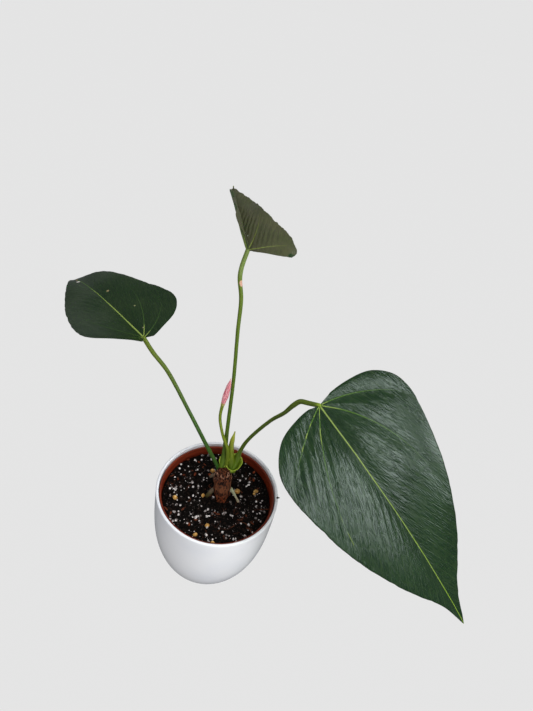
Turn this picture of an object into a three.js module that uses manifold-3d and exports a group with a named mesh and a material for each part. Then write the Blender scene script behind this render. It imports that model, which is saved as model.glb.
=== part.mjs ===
// Potted flamingo flower: a young plant with three leaves, a rolled pink flower bud and a new
// shoot, rooted in a plastic nursery pot that stands inside a white glazed cachepot.
// Millimetres, +Z up. The origin is the centre of the cachepot's flat underside. +X is to the
// right of the plant and +Y behind it.

import * as THREE from 'three';
import { mergeVertices } from 'three/addons/utils/BufferGeometryUtils.js';
import Module from 'manifold-3d';

// Driving dimensions of the two pots and the potting mix
const CACHEPOT_HEIGHT = 130;
const CACHEPOT_RIM_RADIUS = 66;
const CACHEPOT_BASE_RADIUS = 39.3;
const CACHEPOT_SWELL = 3.63;
const CACHEPOT_WALL = 3;
const CACHEPOT_FLOOR = 5;
const CACHEPOT_FOOT_ROUND = 2.5;
const NURSERY_HEIGHT = 121;
const NURSERY_RIM_RADIUS = 62.2;
const NURSERY_NECK_RADIUS = 60.4;
const NURSERY_BASE_RADIUS = 38;
const NURSERY_WALL = 1.4;
const NURSERY_BAND = 14;
const DRAIN_HOLES = 8;
const DRAIN_RADIUS = 4;
const DRAIN_RING_RADIUS = 28;
const MIX_LEVEL = 117;
const POT_SEGMENTS = 44;
const MIX_SEGMENTS = 36;

// Low heaps of the mix, the ripples across them and the rise round the stem: height and spread
const HEAPS = { height: 0.9, across: 7.3, back: 6.1, shift: 1 };
const RIPPLES = { height: 0.6, spread: 11 };
const MOUND = { height: 1.5, spread: 22.4 };

// Grains that stand out of the mix: how many, their least size and how much it varies
const PERLITE = { count: 30, size: 1.3, vary: 1.1 };
const BARK = { count: 8, size: 2.2, vary: 1.6 };
const GRAIN_SEED = 7;
const GRAIN_MARGIN = 6;

// Gap that touching pieces keep, and the blades' thickness
const GAP = 0.3;
const BLADE_THICKNESS = 0.8;

// Routes of the stems, from the root end to the far end, with the radius at a few stations
const point = (x, y, z) => new THREE.Vector3(x, y, z);
const STEM = {
  route: [point(7, -10, 104), point(6, -5, 117), point(3.5, 3, 134), point(1, 10, 148), point(1, 11, 151)],
  radii: [2, 3.4, 9, 9.9, 7.6],
};
const SHOOT = {
  route: [point(8, 15, 147), point(7.5, 17, 154), point(5, 21.5, 163.5), point(3, 26.5, 174),
    point(3.3, 33.3, 188.5)],
  radii: [3.2, 4, 3.4, 2.6, 0.5],
};
const STALK = {
  route: [point(2.6, 15, 154), point(2.2, 17.4, 161), point(1.3, 19, 169), point(-0.4, 20.8, 175),
    point(-3.5, 23.5, 179), point(-8, 29, 183), point(-12, 35, 188), point(-14.9, 40, 193),
    point(-16.1, 42.7, 199.5), point(-15.8, 46.1, 210.8)],
  radii: [1.9, 1.9, 1.8, 1.7, 1.5, 1.5, 1.6, 1.6, 1.9],
};
const BUD = {
  route: [point(-15.8, 46, 210.5), point(-14.6, 50.5, 220), point(-13.8, 54, 229), point(-13, 57.6, 239)],
  radii: [2.1, 3.1, 2.6, 0.6],
};
const PETIOLE_LEFT = {
  route: [point(-2.5, 10.2, 144), point(-6, 12.5, 150.5), point(-10.4, 15, 156.6), point(-20.3, 20.5, 167.3),
    point(-27.9, 24.5, 176.4), point(-47.7, 36.6, 197.5), point(-79.4, 54.4, 231.5), point(-98, 61.3, 246.2),
    point(-110, 68, 258)],
  radii: [1.8, 2.2, 2, 2, 2, 2, 2.1, 2.2, 2.5],
};
const PETIOLE_MIDDLE = {
  route: [point(-2, 14.5, 149), point(-1.8, 18.5, 158), point(-2.6, 22.5, 165), point(-3.5, 27, 171.5),
    point(-6.5, 41, 199), point(-10.7, 62, 234), point(-17.9, 87, 280), point(-21.8, 103.1, 307.2),
    point(-27.5, 111.9, 324.9), point(-28.3, 117, 334), point(-26, 124, 352)],
  radii: [4.3, 2.6, 2, 2, 2, 2, 2, 2.1, 2.2, 2.4, 2.5],
};
const PETIOLE_RIGHT = {
  route: [point(10, 15, 148), point(12.3, 20.5, 158), point(12.6, 24.5, 164.5), point(15.5, 30, 174.5),
    point(18.7, 32.5, 182), point(26.7, 36.1, 196.2), point(38, 39, 214), point(48.2, 39.9, 226.9),
    point(54.5, 41.7, 237.7), point(60.2, 42.7, 244.6), point(69, 39.8, 248), point(79, 38, 250.5)],
  radii: [3.6, 3, 2.1, 2, 2, 2, 2.1, 2.2, 2.7, 2.6, 2.5],
};
// Open foot of the right petiole, a cup round the new shoot
const SHEATH = {
  route: [point(9.4, 12.5, 148.5), point(10, 15.5, 153.5), point(11, 19.5, 159.5)],
  radii: [2.6, 8, 6.2],
};
const ROOT_RIGHT = {
  route: [point(8, 4, 132), point(13, 4.5, 129.5), point(18, 3, 124), point(24, 0, 117), point(27, -1, 110)],
  radii: [2.2, 2.4, 1.9, 1.7, 1.2],
};
const ROOT_LEFT = {
  route: [point(-2, 2, 129), point(-6, 0, 125.5), point(-10, -2.5, 118), point(-11, -3, 110)],
  radii: [2.4, 2.6, 2.2, 1.6],
};
const ROOT_NUB = {
  route: [point(-2, 8, 142), point(-7, 9, 141), point(-11.5, 9, 137)],
  radii: [2, 2.3, 1.5],
};

// Leaf blades. Angles are in degrees. heading turns the midrib from +Y to the right, pitch lifts
// it and roll drops its right side. arch and sway bend the midrib down and to the right, evenly
// and towards the tip. fold lifts each half at the lobes, the middle and the tip, and curl rolls
// it on towards the margin, at the lobes and at the tip. The outline is one half of the flat
// blade in blade lengths: along the midrib from the petiole's end, then out from the midrib.
const LEAF_LEFT = {
  attach: point(-110, 68, 256), length: 160, heading: -59, pitch: 9.3, roll: 9.3,
  arch: [-2.8, 58.7], sway: [5.3, 5.5], twist: 8.5,
  foldRight: [33, 18.5, 12], foldLeft: [60, 23, 7], curlRight: [-15, -28], curlLeft: [2, -33],
  wave: 1.5, waves: 5, wavePhase: 0.4,
  outline: [[-0.035, 0.035], [-0.032, 0.146], [0, 0.275], [0.103, 0.352], [0.42, 0.276], [0.72, 0.138],
    [0.88, 0.042], [1, 0]],
};
const LEAF_TOP = {
  attach: point(-26, 124, 351.5), length: 122, heading: -22.5, pitch: 1.9, roll: -18,
  arch: [-6.2, -6], sway: [2.1, 1.4], twist: -4,
  foldRight: [33, 54, 50], foldLeft: [51, 54, 41], curlRight: [-22, -15], curlLeft: [-10, -5],
  wave: 2.2, waves: 6, wavePhase: 1.2,
  outline: [[-0.042, 0.035], [-0.151, 0.242], [-0.117, 0.386], [-0.013, 0.387], [0.42, 0.246], [0.72, 0.151],
    [0.88, 0.048], [1, 0]],
};
const LEAF_RIGHT = {
  attach: point(79, 38, 250), length: 252, heading: 121, pitch: -26.5, roll: -11.7,
  arch: [-2.2, 11.7], sway: [3.7, 0.7], twist: -0.5,
  foldRight: [20, 16, 4.6], foldLeft: [16, 17.6, 4.8], curlRight: [-15.6, -9.7], curlLeft: [-1, -15.8],
  wave: 1.8, waves: 4, wavePhase: 0,
  outline: [[-0.011, 0.035], [-0.013, 0.146], [0.017, 0.266], [0.117, 0.348], [0.42, 0.305], [0.72, 0.166],
    [0.88, 0.054], [1, 0]],
};
// Primary veins that rise under a blade: reach and bow of each pair beside the midrib
const BASAL_VEINS = [
  { start: 0.01, bend: [0.1, 0.13], end: [0.26, 0.22] },
  { start: 0.0, bend: [0.0, 0.14], end: [0.06, 0.25] },
];
const VEIN_RADIUS = 0.8;
const VEIN_DEPTH = 0.8;
const JOINT_ROOM = 8;
const BLADE_COLUMNS = 20;
const BLADE_ROWS = 6;
// Places along the midrib where the folds are given, the width over which the curl is given, and
// the stretch of midrib that the blade's frames cover, from behind the lobes to the tip
const FOLD_PLACES = [-0.2, 0.2, 1];
const CURL_WIDTH = 0.7;
const MIDRIB_START = -0.4;
const MIDRIB_STATIONS = 57;
// Side step off the midrib, where the two halves meet in a crease
const NEAR_MIDRIB = 1e-5;

const wasm = await Module();
wasm.setup();

// Shared vertices and no other attribute, which is what a solid is made from
function welded(geometry) {
  const plain = geometry.clone();
  plain.deleteAttribute('normal');
  plain.deleteAttribute('uv');
  return mergeVertices(plain, 1e-4);
}

function toSolid(geometry) {
  const plain = welded(geometry);
  const mesh = new wasm.Mesh({
    numProp: 3,
    vertProperties: new Float32Array(plain.attributes.position.array),
    triVerts: new Uint32Array(plain.index.array),
  });
  mesh.merge();
  return new wasm.Manifold(mesh);
}

// The largest body of a solid, without the scraps that a cut leaves
function mainBody(solid) {
  return solid.decompose().reduce((a, b) => (b.volume() > a.volume() ? b : a));
}

function toGeometry(solid) {
  const mesh = mainBody(solid).getMesh();
  const geometry = new THREE.BufferGeometry();
  geometry.setAttribute('position', new THREE.BufferAttribute(new Float32Array(mesh.vertProperties), 3));
  geometry.setIndex(new THREE.BufferAttribute(new Uint32Array(mesh.triVerts), 1));
  return geometry;
}

// Small seeded generator, so that every build places the grains alike
function seededRandom(seed) {
  let state = seed;
  return () => {
    state = (state * 1664525 + 1013904223) % 4294967296;
    return state / 4294967296;
  };
}

// Value at t between 0 and 1 of a list of evenly spaced stations, smoothed between them
function along(stations, t) {
  const place = Math.min(Math.max(t, 0), 1) * (stations.length - 1);
  const before = Math.min(Math.floor(place), stations.length - 2);
  const part = THREE.MathUtils.smoothstep(place - before, 0, 1);
  return THREE.MathUtils.lerp(stations[before], stations[before + 1], part);
}

// Turned body round the Z axis from a profile of [radius, height] points
function turned(profile, segments) {
  const lathe = new THREE.LatheGeometry(profile.map(([r, z]) => new THREE.Vector2(r, z)), segments);
  return toSolid(lathe.rotateX(Math.PI / 2));
}

// Round tapering stem along a route: a unit tube whose rings are then drawn out to their radius
function stemSolid(part, { steps = 14, sides = 8, grow = 0, knots = 0 } = {}) {
  const path = new THREE.CatmullRomCurve3(part.route, false, 'centripetal');
  const ring = new THREE.Shape();
  for (let i = 0; i < sides; i += 1) {
    const turn = (2 * Math.PI * i) / sides;
    ring[i ? 'lineTo' : 'moveTo'](Math.cos(turn), Math.sin(turn));
  }
  const tube = welded(new THREE.ExtrudeGeometry(ring, { steps, extrudePath: path, bevelEnabled: false }));
  const stations = path.getSpacedPoints(steps);
  const radii = stations.map((_, k) => along(part.radii, k / steps) * (k % 2 ? 1 - knots : 1) + grow);
  const places = tube.attributes.position;
  const vertex = new THREE.Vector3();
  for (let i = 0; i < places.count; i += 1) {
    vertex.fromBufferAttribute(places, i);
    let nearest = 0;
    stations.forEach((s, k) => {
      if (vertex.distanceTo(s) < vertex.distanceTo(stations[nearest])) nearest = k;
    });
    vertex.sub(stations[nearest]).multiplyScalar(radii[nearest]).add(stations[nearest]);
    places.setXYZ(i, vertex.x, vertex.y, vertex.z);
  }
  return toSolid(tube);
}

// Value at x of the smooth line through three values at the fold places
function throughFolds(values, x) {
  return values.reduce((sum, value, i) => {
    const others = FOLD_PLACES.filter((_, k) => k !== i);
    return sum + value * others.reduce((part, place) => (part * (x - place)) / (FOLD_PLACES[i] - place), 1);
  }, 0);
}

// Position on a bent blade for a flat place (x along the midrib, y out to the right)
function bladeSurface(leaf) {
  const rad = THREE.MathUtils.degToRad;
  const [heading, pitch, roll, twist] = [leaf.heading, leaf.pitch, leaf.roll, leaf.twist].map(rad);
  const forward = point(Math.sin(heading), Math.cos(heading), 0);
  const ahead = forward.multiplyScalar(Math.cos(pitch)).setZ(Math.sin(pitch));
  const level = point(Math.cos(heading), -Math.sin(heading), 0);
  const right = level.clone().applyAxisAngle(ahead, -roll);
  const up = new THREE.Vector3().crossVectors(right, ahead);
  const step = (1 - MIDRIB_START) / (MIDRIB_STATIONS - 1);
  const frames = [];
  for (let i = 0; i < MIDRIB_STATIONS; i += 1) {
    const x = MIDRIB_START + i * step;
    const down = rad(leaf.arch[0] * x + leaf.arch[1] * x * Math.abs(x));
    const side = rad(leaf.sway[0] * x + leaf.sway[1] * x * Math.abs(x));
    const tangent = ahead.clone().multiplyScalar(Math.cos(down) * Math.cos(side));
    tangent.addScaledVector(right, Math.cos(down) * Math.sin(side)).addScaledVector(up, -Math.sin(down));
    const across = right.clone().multiplyScalar(Math.cos(side)).addScaledVector(ahead, -Math.sin(side));
    across.applyAxisAngle(tangent, -twist * x);
    const normal = new THREE.Vector3().crossVectors(across, tangent);
    frames.push({ tangent, across, normal, centre: new THREE.Vector3() });
  }
  for (let i = 1; i < MIDRIB_STATIONS; i += 1) {
    const mean = frames[i].tangent.clone().add(frames[i - 1].tangent).multiplyScalar(step / 2);
    frames[i].centre.copy(frames[i - 1].centre).add(mean);
  }
  const blend = (key, x) => {
    const place = Math.min(Math.max((x - MIDRIB_START) / step, 0), MIDRIB_STATIONS - 1.001);
    const i = Math.floor(place);
    return frames[i][key].clone().lerp(frames[i + 1][key], place - i);
  };
  const root = blend('centre', 0);
  const [lobes, , tip] = FOLD_PLACES;
  return (x, y) => {
    const [fold, curl] = y >= 0 ? [leaf.foldRight, leaf.curlRight] : [leaf.foldLeft, leaf.curlLeft];
    const rolled = curl[0] + ((curl[1] - curl[0]) * (x - lobes)) / (tip - lobes);
    const lift = rad(throughFolds(fold, x) + (rolled * Math.abs(y)) / CURL_WIDTH);
    const place = blend('centre', x).sub(root).addScaledVector(blend('across', x), y * Math.cos(lift));
    place.addScaledVector(blend('normal', x), Math.abs(y) * Math.sin(lift));
    return place.multiplyScalar(leaf.length).add(leaf.attach);
  };
}

// Upper side's normal at a flat place
function bladeNormal(surface, x, y) {
  const d = 0.004;
  const alongX = surface(x + d, y).sub(surface(x - d, y));
  const alongY = surface(x, y + (y < 0 ? -d : d)).sub(surface(x, y)).multiplyScalar(y < 0 ? -1 : 1);
  return new THREE.Vector3().crossVectors(alongY, alongX).normalize();
}

// Half outline of a flat blade from the petiole's end to the tip, as evenly spaced points
function halfOutline(leaf, count) {
  const corners = [[0, 0], ...leaf.outline].map(([x, y]) => point(x, y, 0));
  const curve = new THREE.CatmullRomCurve3(corners, false, 'centripetal');
  return curve.getSpacedPoints(count).slice(1);
}

// Blade as a thin closed sheet with waved margins, both faces split into triangles alike
function bladeSolid(leaf, thickness) {
  const surface = bladeSurface(leaf);
  const half = halfOutline(leaf, BLADE_COLUMNS);
  const margin = [...half.map((p) => [p.x, -p.y]), ...half.slice(0, -1).reverse().map((p) => [p.x, p.y])];
  const columns = margin.length;
  const vertices = [];
  const triangles = [];
  const put = (out, column, side) => {
    const [x, y] = margin[column].map((v) => v * out);
    const normal = bladeNormal(surface, x, y || NEAR_MIDRIB);
    const turn = 2 * Math.PI * ((leaf.waves * column) / columns) + leaf.wavePhase;
    const ends = Math.sin((Math.PI * column) / (columns - 1));
    const raise = leaf.wave * out ** 3 * Math.sin(turn) * ends + (side * thickness) / 2;
    vertices.push(...surface(x, y).addScaledVector(normal, raise).toArray());
  };
  for (const side of [1, -1]) {
    put(0, 0, side);
    for (let row = 1; row <= BLADE_ROWS; row += 1) {
      for (let column = 0; column < columns; column += 1) put(row / BLADE_ROWS, column, side);
    }
  }
  const perFace = 1 + BLADE_ROWS * columns;
  const at = (row, column, face) => face * perFace + (row ? 1 + (row - 1) * columns + column : 0);
  const triangle = (a, b, c, face) => triangles.push(...(face ? [a, c, b] : [a, b, c]));
  for (const face of [0, 1]) {
    for (let row = 0; row < BLADE_ROWS; row += 1) {
      for (let column = 0; column + 1 < columns; column += 1) {
        const [a, b] = [at(row, column, face), at(row + 1, column, face)];
        const [c, d] = [at(row + 1, column + 1, face), at(row, column + 1, face)];
        triangle(a, c, b, face);
        if (row) triangle(a, d, c, face);
      }
    }
  }
  const edge = [at(0, 0, 0)];
  for (let row = 1; row <= BLADE_ROWS; row += 1) edge.push(at(row, 0, 0));
  for (let column = 1; column < columns; column += 1) edge.push(at(BLADE_ROWS, column, 0));
  for (let row = BLADE_ROWS - 1; row > 0; row -= 1) edge.push(at(row, columns - 1, 0));
  edge.forEach((a, i) => {
    const b = edge[(i + 1) % edge.length];
    triangles.push(a, b, b + perFace, a, b + perFace, a + perFace);
  });
  const geometry = new THREE.BufferGeometry();
  geometry.setAttribute('position', new THREE.BufferAttribute(new Float32Array(vertices), 3));
  geometry.setIndex(triangles);
  return toSolid(geometry);
}

// Midrib and basal veins as slim ridges that stand out of the blade's underside
function veinSolids(leaf, grow = 0) {
  const surface = bladeSurface(leaf);
  const ridge = (flat, radii, steps) => {
    const route = flat.map(([x, y]) => (
      surface(x, y).addScaledVector(bladeNormal(surface, x, y || NEAR_MIDRIB), -VEIN_DEPTH)));
    return stemSolid({ route, radii }, { steps, sides: 5, grow });
  };
  const midrib = [0.004, 0.15, 0.3, 0.45, 0.6, 0.75, 0.9].map((x) => [x, 0]);
  const ridges = [ridge(midrib, [2 * VEIN_RADIUS, 1.5 * VEIN_RADIUS, VEIN_RADIUS, 0.6 * VEIN_RADIUS], 11)];
  for (const side of [-1, 1]) {
    for (const { start, bend, end } of BASAL_VEINS) {
      const flat = [[start + 0.006, side * 0.006], [bend[0], side * bend[1]], [end[0], side * end[1]]];
      ridges.push(ridge(flat, [1.3 * VEIN_RADIUS, VEIN_RADIUS, 0.6 * VEIN_RADIUS], 4));
    }
  }
  return ridges;
}

function leafSolid(leaf) {
  return veinSolids(leaf).reduce((blade, ridge) => blade.add(ridge), bladeSolid(leaf, BLADE_THICKNESS));
}

// Room that a petiole leaves for its blade: the grown blade, and all that lies above its joint
function leafRoom(leaf) {
  const surface = bladeSurface(leaf);
  const normal = bladeNormal(surface, 0.01, NEAR_MIDRIB);
  const above = new THREE.CylinderGeometry(JOINT_ROOM, JOINT_ROOM, 2 * JOINT_ROOM, 12);
  above.applyQuaternion(new THREE.Quaternion().setFromUnitVectors(point(0, 1, 0), normal));
  const drop = BLADE_THICKNESS / 2 + 2 * GAP;
  const middle = leaf.attach.clone().addScaledVector(normal, JOINT_ROOM - drop);
  above.translate(middle.x, middle.y, middle.z);
  const grownBlade = bladeSolid(leaf, BLADE_THICKNESS + 2 * GAP);
  return veinSolids(leaf, GAP).reduce((room, ridge) => room.add(ridge), grownBlade).add(toSolid(above));
}

// Cachepot: rounded taper to a smaller flat foot, and a thin rounded lip
function cachepotRadius(z) {
  const rise = 1 - (1 - z / CACHEPOT_HEIGHT) ** CACHEPOT_SWELL;
  return CACHEPOT_BASE_RADIUS + (CACHEPOT_RIM_RADIUS - CACHEPOT_BASE_RADIUS) * rise;
}

function cachepotSolid() {
  const outer = [4, 9, 16, 26, 40, 60, 90, CACHEPOT_HEIGHT - CACHEPOT_WALL / 2];
  const profile = [[0, 0], [CACHEPOT_BASE_RADIUS - CACHEPOT_FOOT_ROUND, 0], [CACHEPOT_BASE_RADIUS, 0.9]];
  outer.forEach((z) => profile.push([cachepotRadius(z), z]));
  const lipRadius = CACHEPOT_WALL / 2;
  for (const turn of [45, 90, 135]) {
    const angle = THREE.MathUtils.degToRad(turn);
    const middle = CACHEPOT_RIM_RADIUS - lipRadius;
    const height = CACHEPOT_HEIGHT - lipRadius;
    profile.push([middle + lipRadius * Math.cos(angle), height + lipRadius * Math.sin(angle)]);
  }
  const inner = outer.slice(2).reverse();
  inner.forEach((z) => profile.push([cachepotRadius(z) - CACHEPOT_WALL, z]));
  profile.push([cachepotRadius(9) - CACHEPOT_WALL - 0.6, 9.5]);
  profile.push([cachepotRadius(CACHEPOT_FLOOR) - 2 * CACHEPOT_WALL, CACHEPOT_FLOOR]);
  profile.push([0, CACHEPOT_FLOOR]);
  return turned(profile, POT_SEGMENTS);
}

// Nursery pot: a thin tapered plastic pot with a raised rim band and drain holes in its floor
const NURSERY_FOOT = CACHEPOT_FLOOR + GAP;
const NURSERY_TOP = NURSERY_FOOT + NURSERY_HEIGHT;
const BAND_FOOT = NURSERY_TOP - NURSERY_BAND;

function nurserySolid() {
  const inside = NURSERY_NECK_RADIUS - NURSERY_WALL;
  const profile = [
    [0, NURSERY_FOOT], [NURSERY_BASE_RADIUS - 1, NURSERY_FOOT], [NURSERY_BASE_RADIUS, NURSERY_FOOT + 1.5],
    [NURSERY_NECK_RADIUS, BAND_FOOT], [NURSERY_RIM_RADIUS - 0.6, BAND_FOOT],
    [NURSERY_RIM_RADIUS, BAND_FOOT + 1], [NURSERY_RIM_RADIUS, NURSERY_TOP - 0.5],
    [NURSERY_RIM_RADIUS - 0.6, NURSERY_TOP], [NURSERY_RIM_RADIUS - 1.3, NURSERY_TOP],
    [NURSERY_RIM_RADIUS - 1.8, NURSERY_TOP - 0.8], [inside + 0.6, BAND_FOOT + 2], [inside, BAND_FOOT - 2],
    [NURSERY_BASE_RADIUS - NURSERY_WALL, NURSERY_FOOT + 3],
    [NURSERY_BASE_RADIUS - 3, NURSERY_FOOT + NURSERY_WALL], [0, NURSERY_FOOT + NURSERY_WALL],
  ];
  let pot = turned(profile, POT_SEGMENTS);
  for (let i = 0; i < DRAIN_HOLES; i += 1) {
    const turn = (2 * Math.PI * i) / DRAIN_HOLES;
    const drill = new THREE.CylinderGeometry(DRAIN_RADIUS, DRAIN_RADIUS, 8, 12).rotateX(Math.PI / 2);
    drill.translate(DRAIN_RING_RADIUS * Math.cos(turn), DRAIN_RING_RADIUS * Math.sin(turn), NURSERY_FOOT);
    pot = pot.subtract(toSolid(drill));
  }
  return pot;
}

// Height of the mix at a place: low heaps and hollows, a little higher round the stem
function mixHeight(x, y) {
  const heaps = HEAPS.height * Math.sin(x / HEAPS.across + HEAPS.shift) * Math.cos(y / HEAPS.back);
  const ripples = RIPPLES.height * Math.sin((x - 2 * y) / RIPPLES.spread);
  return MIX_LEVEL + heaps + ripples + MOUND.height * Math.exp(-(x * x + y * y) / MOUND.spread ** 2);
}

// Potting mix: fills the nursery pot, with perlite grains and bark chips standing out of its top
function mixSolid() {
  const top = NURSERY_NECK_RADIUS - NURSERY_WALL - GAP;
  const profile = [
    [0, NURSERY_FOOT + NURSERY_WALL + GAP], [NURSERY_BASE_RADIUS - 3.5, NURSERY_FOOT + NURSERY_WALL + GAP],
    [NURSERY_BASE_RADIUS - NURSERY_WALL - GAP, NURSERY_FOOT + 3.5], [top, BAND_FOOT - 2], [top, MIX_LEVEL],
  ];
  for (const r of [0.92, 0.8, 0.68, 0.55, 0.42, 0.29, 0.16]) profile.push([top * r, MIX_LEVEL]);
  profile.push([0, MIX_LEVEL]);
  const lathe = new THREE.LatheGeometry(profile.map(([r, z]) => new THREE.Vector2(r, z)), MIX_SEGMENTS);
  const body = welded(lathe.rotateX(Math.PI / 2));
  const places = body.attributes.position;
  for (let i = 0; i < places.count; i += 1) {
    const inset = Math.hypot(places.getX(i), places.getY(i)) < top * 0.95;
    if (places.getZ(i) > MIX_LEVEL - 0.01 && inset) {
      places.setZ(i, mixHeight(places.getX(i), places.getY(i)));
    }
  }
  let mix = toSolid(body);
  const random = seededRandom(GRAIN_SEED);
  const scatter = (kind, shape) => {
    for (let i = 0; i < kind.count; i += 1) {
      const reach = (top - GRAIN_MARGIN) * Math.sqrt(random());
      const turn = 2 * Math.PI * random();
      const [x, y] = [reach * Math.cos(turn), reach * Math.sin(turn)];
      const size = kind.size + kind.vary * random();
      const grain = shape(size);
      grain.rotateX(0.6 * random()).rotateZ(2 * Math.PI * random());
      grain.translate(x, y, mixHeight(x, y) + 0.3 * size);
      mix = mix.add(toSolid(grain));
    }
  };
  scatter(PERLITE, (size) => new THREE.IcosahedronGeometry(size, 0));
  scatter(BARK, (size) => new THREE.BoxGeometry(2.2 * size, 1.1 * size, 0.8 * size));
  return mix;
}

// The plant's own pieces. A piece that would cross its neighbour is cut clear of it by the gap.
const grown = { grow: GAP };
const stemShape = { steps: 18, sides: 12, knots: 0.06 };
const stem = stemSolid(STEM, stemShape);
const stemRoom = stemSolid(STEM, { ...stemShape, ...grown });
const shoot = stemSolid(SHOOT, { steps: 10 }).subtract(stemRoom);
const shootRoom = stemSolid(SHOOT, { steps: 10, ...grown });
const stalk = stemSolid(STALK).subtract(stemRoom).subtract(shootRoom);
const stalkRoom = stemSolid(STALK, grown);
const bud = stemSolid(BUD, { steps: 10, sides: 10 }).subtract(stalkRoom);
const blades = [LEAF_LEFT, LEAF_TOP, LEAF_RIGHT].map(leafSolid);
const bladeRooms = [LEAF_LEFT, LEAF_TOP, LEAF_RIGHT].map(leafRoom);
const crown = stemRoom.add(shootRoom).add(stalkRoom);
const petioleShape = { steps: 22 };
const petioleMiddle = stemSolid(PETIOLE_MIDDLE, petioleShape).subtract(crown).subtract(bladeRooms[1]);
const fullCrown = crown.add(stemSolid(PETIOLE_MIDDLE, { ...petioleShape, ...grown }));
const petioleLeft = stemSolid(PETIOLE_LEFT, petioleShape).subtract(fullCrown).subtract(bladeRooms[0]);
const sheath = stemSolid(SHEATH, { steps: 8, sides: 12 });
const petioleRight = stemSolid(PETIOLE_RIGHT, { steps: 26 }).add(sheath)
  .subtract(fullCrown).subtract(bladeRooms[2]);
const leftRoom = stemSolid(PETIOLE_LEFT, { ...petioleShape, ...grown });
const rootCuts = stemRoom.add(leftRoom);
const roots = [ROOT_LEFT, ROOT_RIGHT, ROOT_NUB]
  .map((root) => stemSolid(root, { steps: 8 }).subtract(rootCuts));
const rootRooms = [ROOT_LEFT, ROOT_RIGHT].map((root) => stemSolid(root, { steps: 8, ...grown }));
const mix = rootRooms.reduce((rest, root) => rest.subtract(root), mixSolid().subtract(stemRoom));

// Finishes: colour, roughness and metalness of each kind of surface
function finish(color, roughness) {
  return new THREE.MeshStandardMaterial({ color, roughness, metalness: 0 });
}
const GLAZE = () => finish(0xeeeff2, 0.2);
const TERRACOTTA_PLASTIC = () => finish(0x7c3323, 0.6);
const MIX = () => finish(0x1d1815, 0.95);
const WOODY = () => finish(0x6a4632, 0.85);
const ROOT = () => finish(0x9c9a78, 0.7);
const OLD_LEAF = () => finish(0x1d3322, 0.35);
const YOUNG_LEAF = () => finish(0x45402f, 0.4);
const PETIOLE = () => finish(0x3f5a22, 0.45);
const FRESH_SHOOT = () => finish(0x8c9a34, 0.45);
const PINK_SPATHE = () => finish(0xb9838a, 0.5);

const plant = new THREE.Group();
function addPiece(name, solid, material) {
  const mesh = new THREE.Mesh(toGeometry(solid), material);
  mesh.name = name;
  plant.add(mesh);
}
addPiece('cachepot', cachepotSolid(), GLAZE());
addPiece('nursery_pot', nurserySolid(), TERRACOTTA_PLASTIC());
addPiece('potting_mix', mix, MIX());
addPiece('stem', stem, WOODY());
addPiece('aerial_root_left', roots[0], ROOT());
addPiece('aerial_root_right', roots[1], ROOT());
addPiece('aerial_root_nub', roots[2], ROOT());
addPiece('petiole_left', petioleLeft, PETIOLE());
addPiece('petiole_middle', petioleMiddle, PETIOLE());
addPiece('petiole_right', petioleRight, PETIOLE());
addPiece('leaf_left', blades[0], OLD_LEAF());
addPiece('leaf_top', blades[1], YOUNG_LEAF());
addPiece('leaf_right', blades[2], OLD_LEAF());
addPiece('new_shoot', shoot, FRESH_SHOOT());
addPiece('flower_stalk', stalk, FRESH_SHOOT());
addPiece('flower_bud', bud, PINK_SPATHE());

export default plant;
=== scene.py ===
# %% [markdown]
# # Potted flamingo flower
#
# A young flamingo flower stands in a plastic nursery pot inside a white glazed cachepot. It has three
# heart-shaped leaves on long stalks, a rolled pink bud, a new shoot and a short woody stem with aerial
# roots. A plain solid model gives every piece its size and place. This lesson makes a fine surface for
# each piece around that model: first the camera and the light, then a few helpers, then the pots, the
# potting mix, the stem, the stalks and the blades.

# %% Load the solid model
import math
import random

import bmesh
import bpy
from mathutils import Matrix, Vector, noise


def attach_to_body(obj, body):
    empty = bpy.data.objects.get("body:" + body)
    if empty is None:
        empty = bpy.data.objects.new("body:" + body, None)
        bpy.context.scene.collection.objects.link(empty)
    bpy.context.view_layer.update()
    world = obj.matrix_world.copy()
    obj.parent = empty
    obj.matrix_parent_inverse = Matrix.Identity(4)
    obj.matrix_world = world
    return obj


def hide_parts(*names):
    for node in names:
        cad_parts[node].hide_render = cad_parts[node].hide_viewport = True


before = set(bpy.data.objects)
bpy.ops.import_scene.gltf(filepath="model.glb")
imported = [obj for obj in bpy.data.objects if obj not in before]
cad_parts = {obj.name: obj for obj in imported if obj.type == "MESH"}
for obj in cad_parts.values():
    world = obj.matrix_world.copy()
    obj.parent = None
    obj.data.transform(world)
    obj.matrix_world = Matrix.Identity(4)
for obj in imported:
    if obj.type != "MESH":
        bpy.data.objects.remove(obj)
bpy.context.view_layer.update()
MM = 0.001

# %% [markdown]
# ## Camera
#
# The camera stands in front of the plant, looks down on it and is tilted sideways a little. Its place
# was found from the rim of the pot, which is a circle of a known size. The lens follows from the focal
# length in pixels of a picture 711 pixels high, on a sensor 36 mm long. It could be a camera with a
# shifted lens, but a plain one is enough, because the middle of the picture is where the lens points.

# %% Camera
PICTURE_HEIGHT = 711
FOCAL_PIXELS = 513
SENSOR = 36.0
CAMERA_PLACE = Vector((16.7, -330.9, 599.3)) * MM
LOOK_DOWN = math.radians(39.4)
CAMERA_TILT = math.radians(13.61)

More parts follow.
